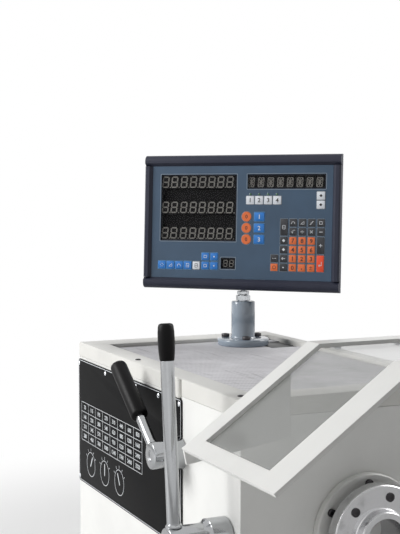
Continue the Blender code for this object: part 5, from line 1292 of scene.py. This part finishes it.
class HEADSTOCK_OT_stage(Maker, bpy.types.Operator):
    """Pale floor, soft light, plain white background and the camera"""
    bl_idname = "headstock.stage"
    bl_label = "Stage"

    def build(self, sizes, colours):
        deselect()
        bpy.ops.mesh.primitive_plane_add(size=12, location=(0, 0, -0.0003))
        floor = bpy.context.object
        floor.name = "studio_floor"
        settle(floor)
        pale, dull = (0.86, 0.86, 0.86), (0.82, 0.82, 0.82)
        finish = Finish("studio_floor", pale, 0.6)
        grain = finish.noise(0.4, 3)
        finish.set("Base Color", finish.mix(grain.step(0.3, 0.7) * 0.3, pale, dull))
        tree = finish.tree
        glow = tree.nodes.new("ShaderNodeEmission")
        glow.inputs[0].default_value = (1, 1, 1, 1)
        blend = tree.nodes.new("ShaderNodeMixShader")
        away = finish.node("ShaderNodeVectorMath", {"operation": "LENGTH"}, {0: finish.point}, out=1)
        seen = finish.node("ShaderNodeLightPath", out=0)
        finish.feed(blend.inputs[0], (away.step(0.42, 0.95) * seen).clamp())
        tree.links.new(finish.shader.outputs[0], blend.inputs[1])
        tree.links.new(glow.outputs[0], blend.inputs[2])
        output = next(node for node in tree.nodes if node.type == "OUTPUT_MATERIAL")
        tree.links.new(blend.outputs[0], output.inputs[0])
        floor.data.materials.append(finish.material)

        world = bpy.data.worlds.new("studio")
        bpy.context.scene.world = world
        world.use_nodes = True
        nodes, links = world.node_tree.nodes, world.node_tree.links
        nodes.clear()
        path = nodes.new("ShaderNodeLightPath")
        backs = []
        for strength in (0.08, 1.0):
            back = nodes.new("ShaderNodeBackground")
            back.inputs[0].default_value = (1, 1, 1, 1)
            back.inputs[1].default_value = strength
            backs.append(back)
        either = path.outputs["Is Camera Ray"]
        for ray in ("Is Glossy Ray", "Is Transmission Ray"):
            both = nodes.new("ShaderNodeMath")
            both.operation = "MAXIMUM"
            links.new(either, both.inputs[0])
            links.new(path.outputs[ray], both.inputs[1])
            either = both.outputs[0]
        mix = nodes.new("ShaderNodeMixShader")
        links.new(either, mix.inputs[0])
        links.new(backs[0].outputs[0], mix.inputs[1])
        links.new(backs[1].outputs[0], mix.inputs[2])
        output = nodes.new("ShaderNodeOutputWorld")
        links.new(mix.outputs[0], output.inputs[0])

        area("key_light", (-0.9, -2.4, 1.7), (0, 0, 0.35), 1.5, 81)
        area("fill_light", (2.4, -1.4, 1.2), (0.1, 0, 0.30), 1.6, 1.0)
        area("back_light", (0.2, 2.2, 1.9), (0, 0, 0.35), 1.4, 34)

        deselect()
        bpy.ops.object.camera_add(location=(1.2847, -0.6741, 0.5315))
        camera = bpy.context.object
        camera.name = "main_camera"
        camera.rotation_euler = Vector((-0.9052, 0.4199, -0.06465)).to_track_quat("-Z", "Y").to_euler()
        camera.data.lens = 76.9
        camera.data.sensor_width = 36
        camera.data.clip_start = 0.01
        camera.data.clip_end = 60
        bpy.context.scene.camera = camera
        bpy.context.scene.view_settings.view_transform = "Standard"


class HEADSTOCK_PT_panel(bpy.types.Panel):
    """Settings and steps, in the 3D view's sidebar"""
    bl_label = "Headstock"
    bl_idname = "HEADSTOCK_PT_panel"
    bl_space_type = "VIEW_3D"
    bl_region_type = "UI"
    bl_category = "Headstock"

    def draw(self, context):
        layout = self.layout
        for settings in (context.scene.headstock_sizes, context.scene.headstock_colours):
            box = layout.box()
            for name in settings.__annotations__:
                box.prop(settings, name)
        for step in STEPS:
            layout.operator(step.bl_idname)


STEPS = (HEADSTOCK_OT_finishes, HEADSTOCK_OT_cover, HEADSTOCK_OT_chart, HEADSTOCK_OT_casting,
         HEADSTOCK_OT_pedestal, HEADSTOCK_OT_keys, HEADSTOCK_OT_panel_print, HEADSTOCK_OT_digits,
         HEADSTOCK_OT_case, HEADSTOCK_OT_levers, HEADSTOCK_OT_spindle, HEADSTOCK_OT_guard, HEADSTOCK_OT_stage)
CLASSES = (HeadstockSizes, HeadstockColours, *STEPS, HEADSTOCK_PT_panel)


def register():
    for item in CLASSES:
        bpy.utils.register_class(item)
    bpy.types.Scene.headstock_sizes = PointerProperty(type=HeadstockSizes)
    bpy.types.Scene.headstock_colours = PointerProperty(type=HeadstockColours)


def unregister():
    del bpy.types.Scene.headstock_colours
    del bpy.types.Scene.headstock_sizes
    for item in reversed(CLASSES):
        bpy.utils.unregister_class(item)


def main():
    register()
    for step in STEPS:
        group, name = step.bl_idname.split(".")
        getattr(getattr(bpy.ops, group), name)()


if __name__ == "__main__":
    main()
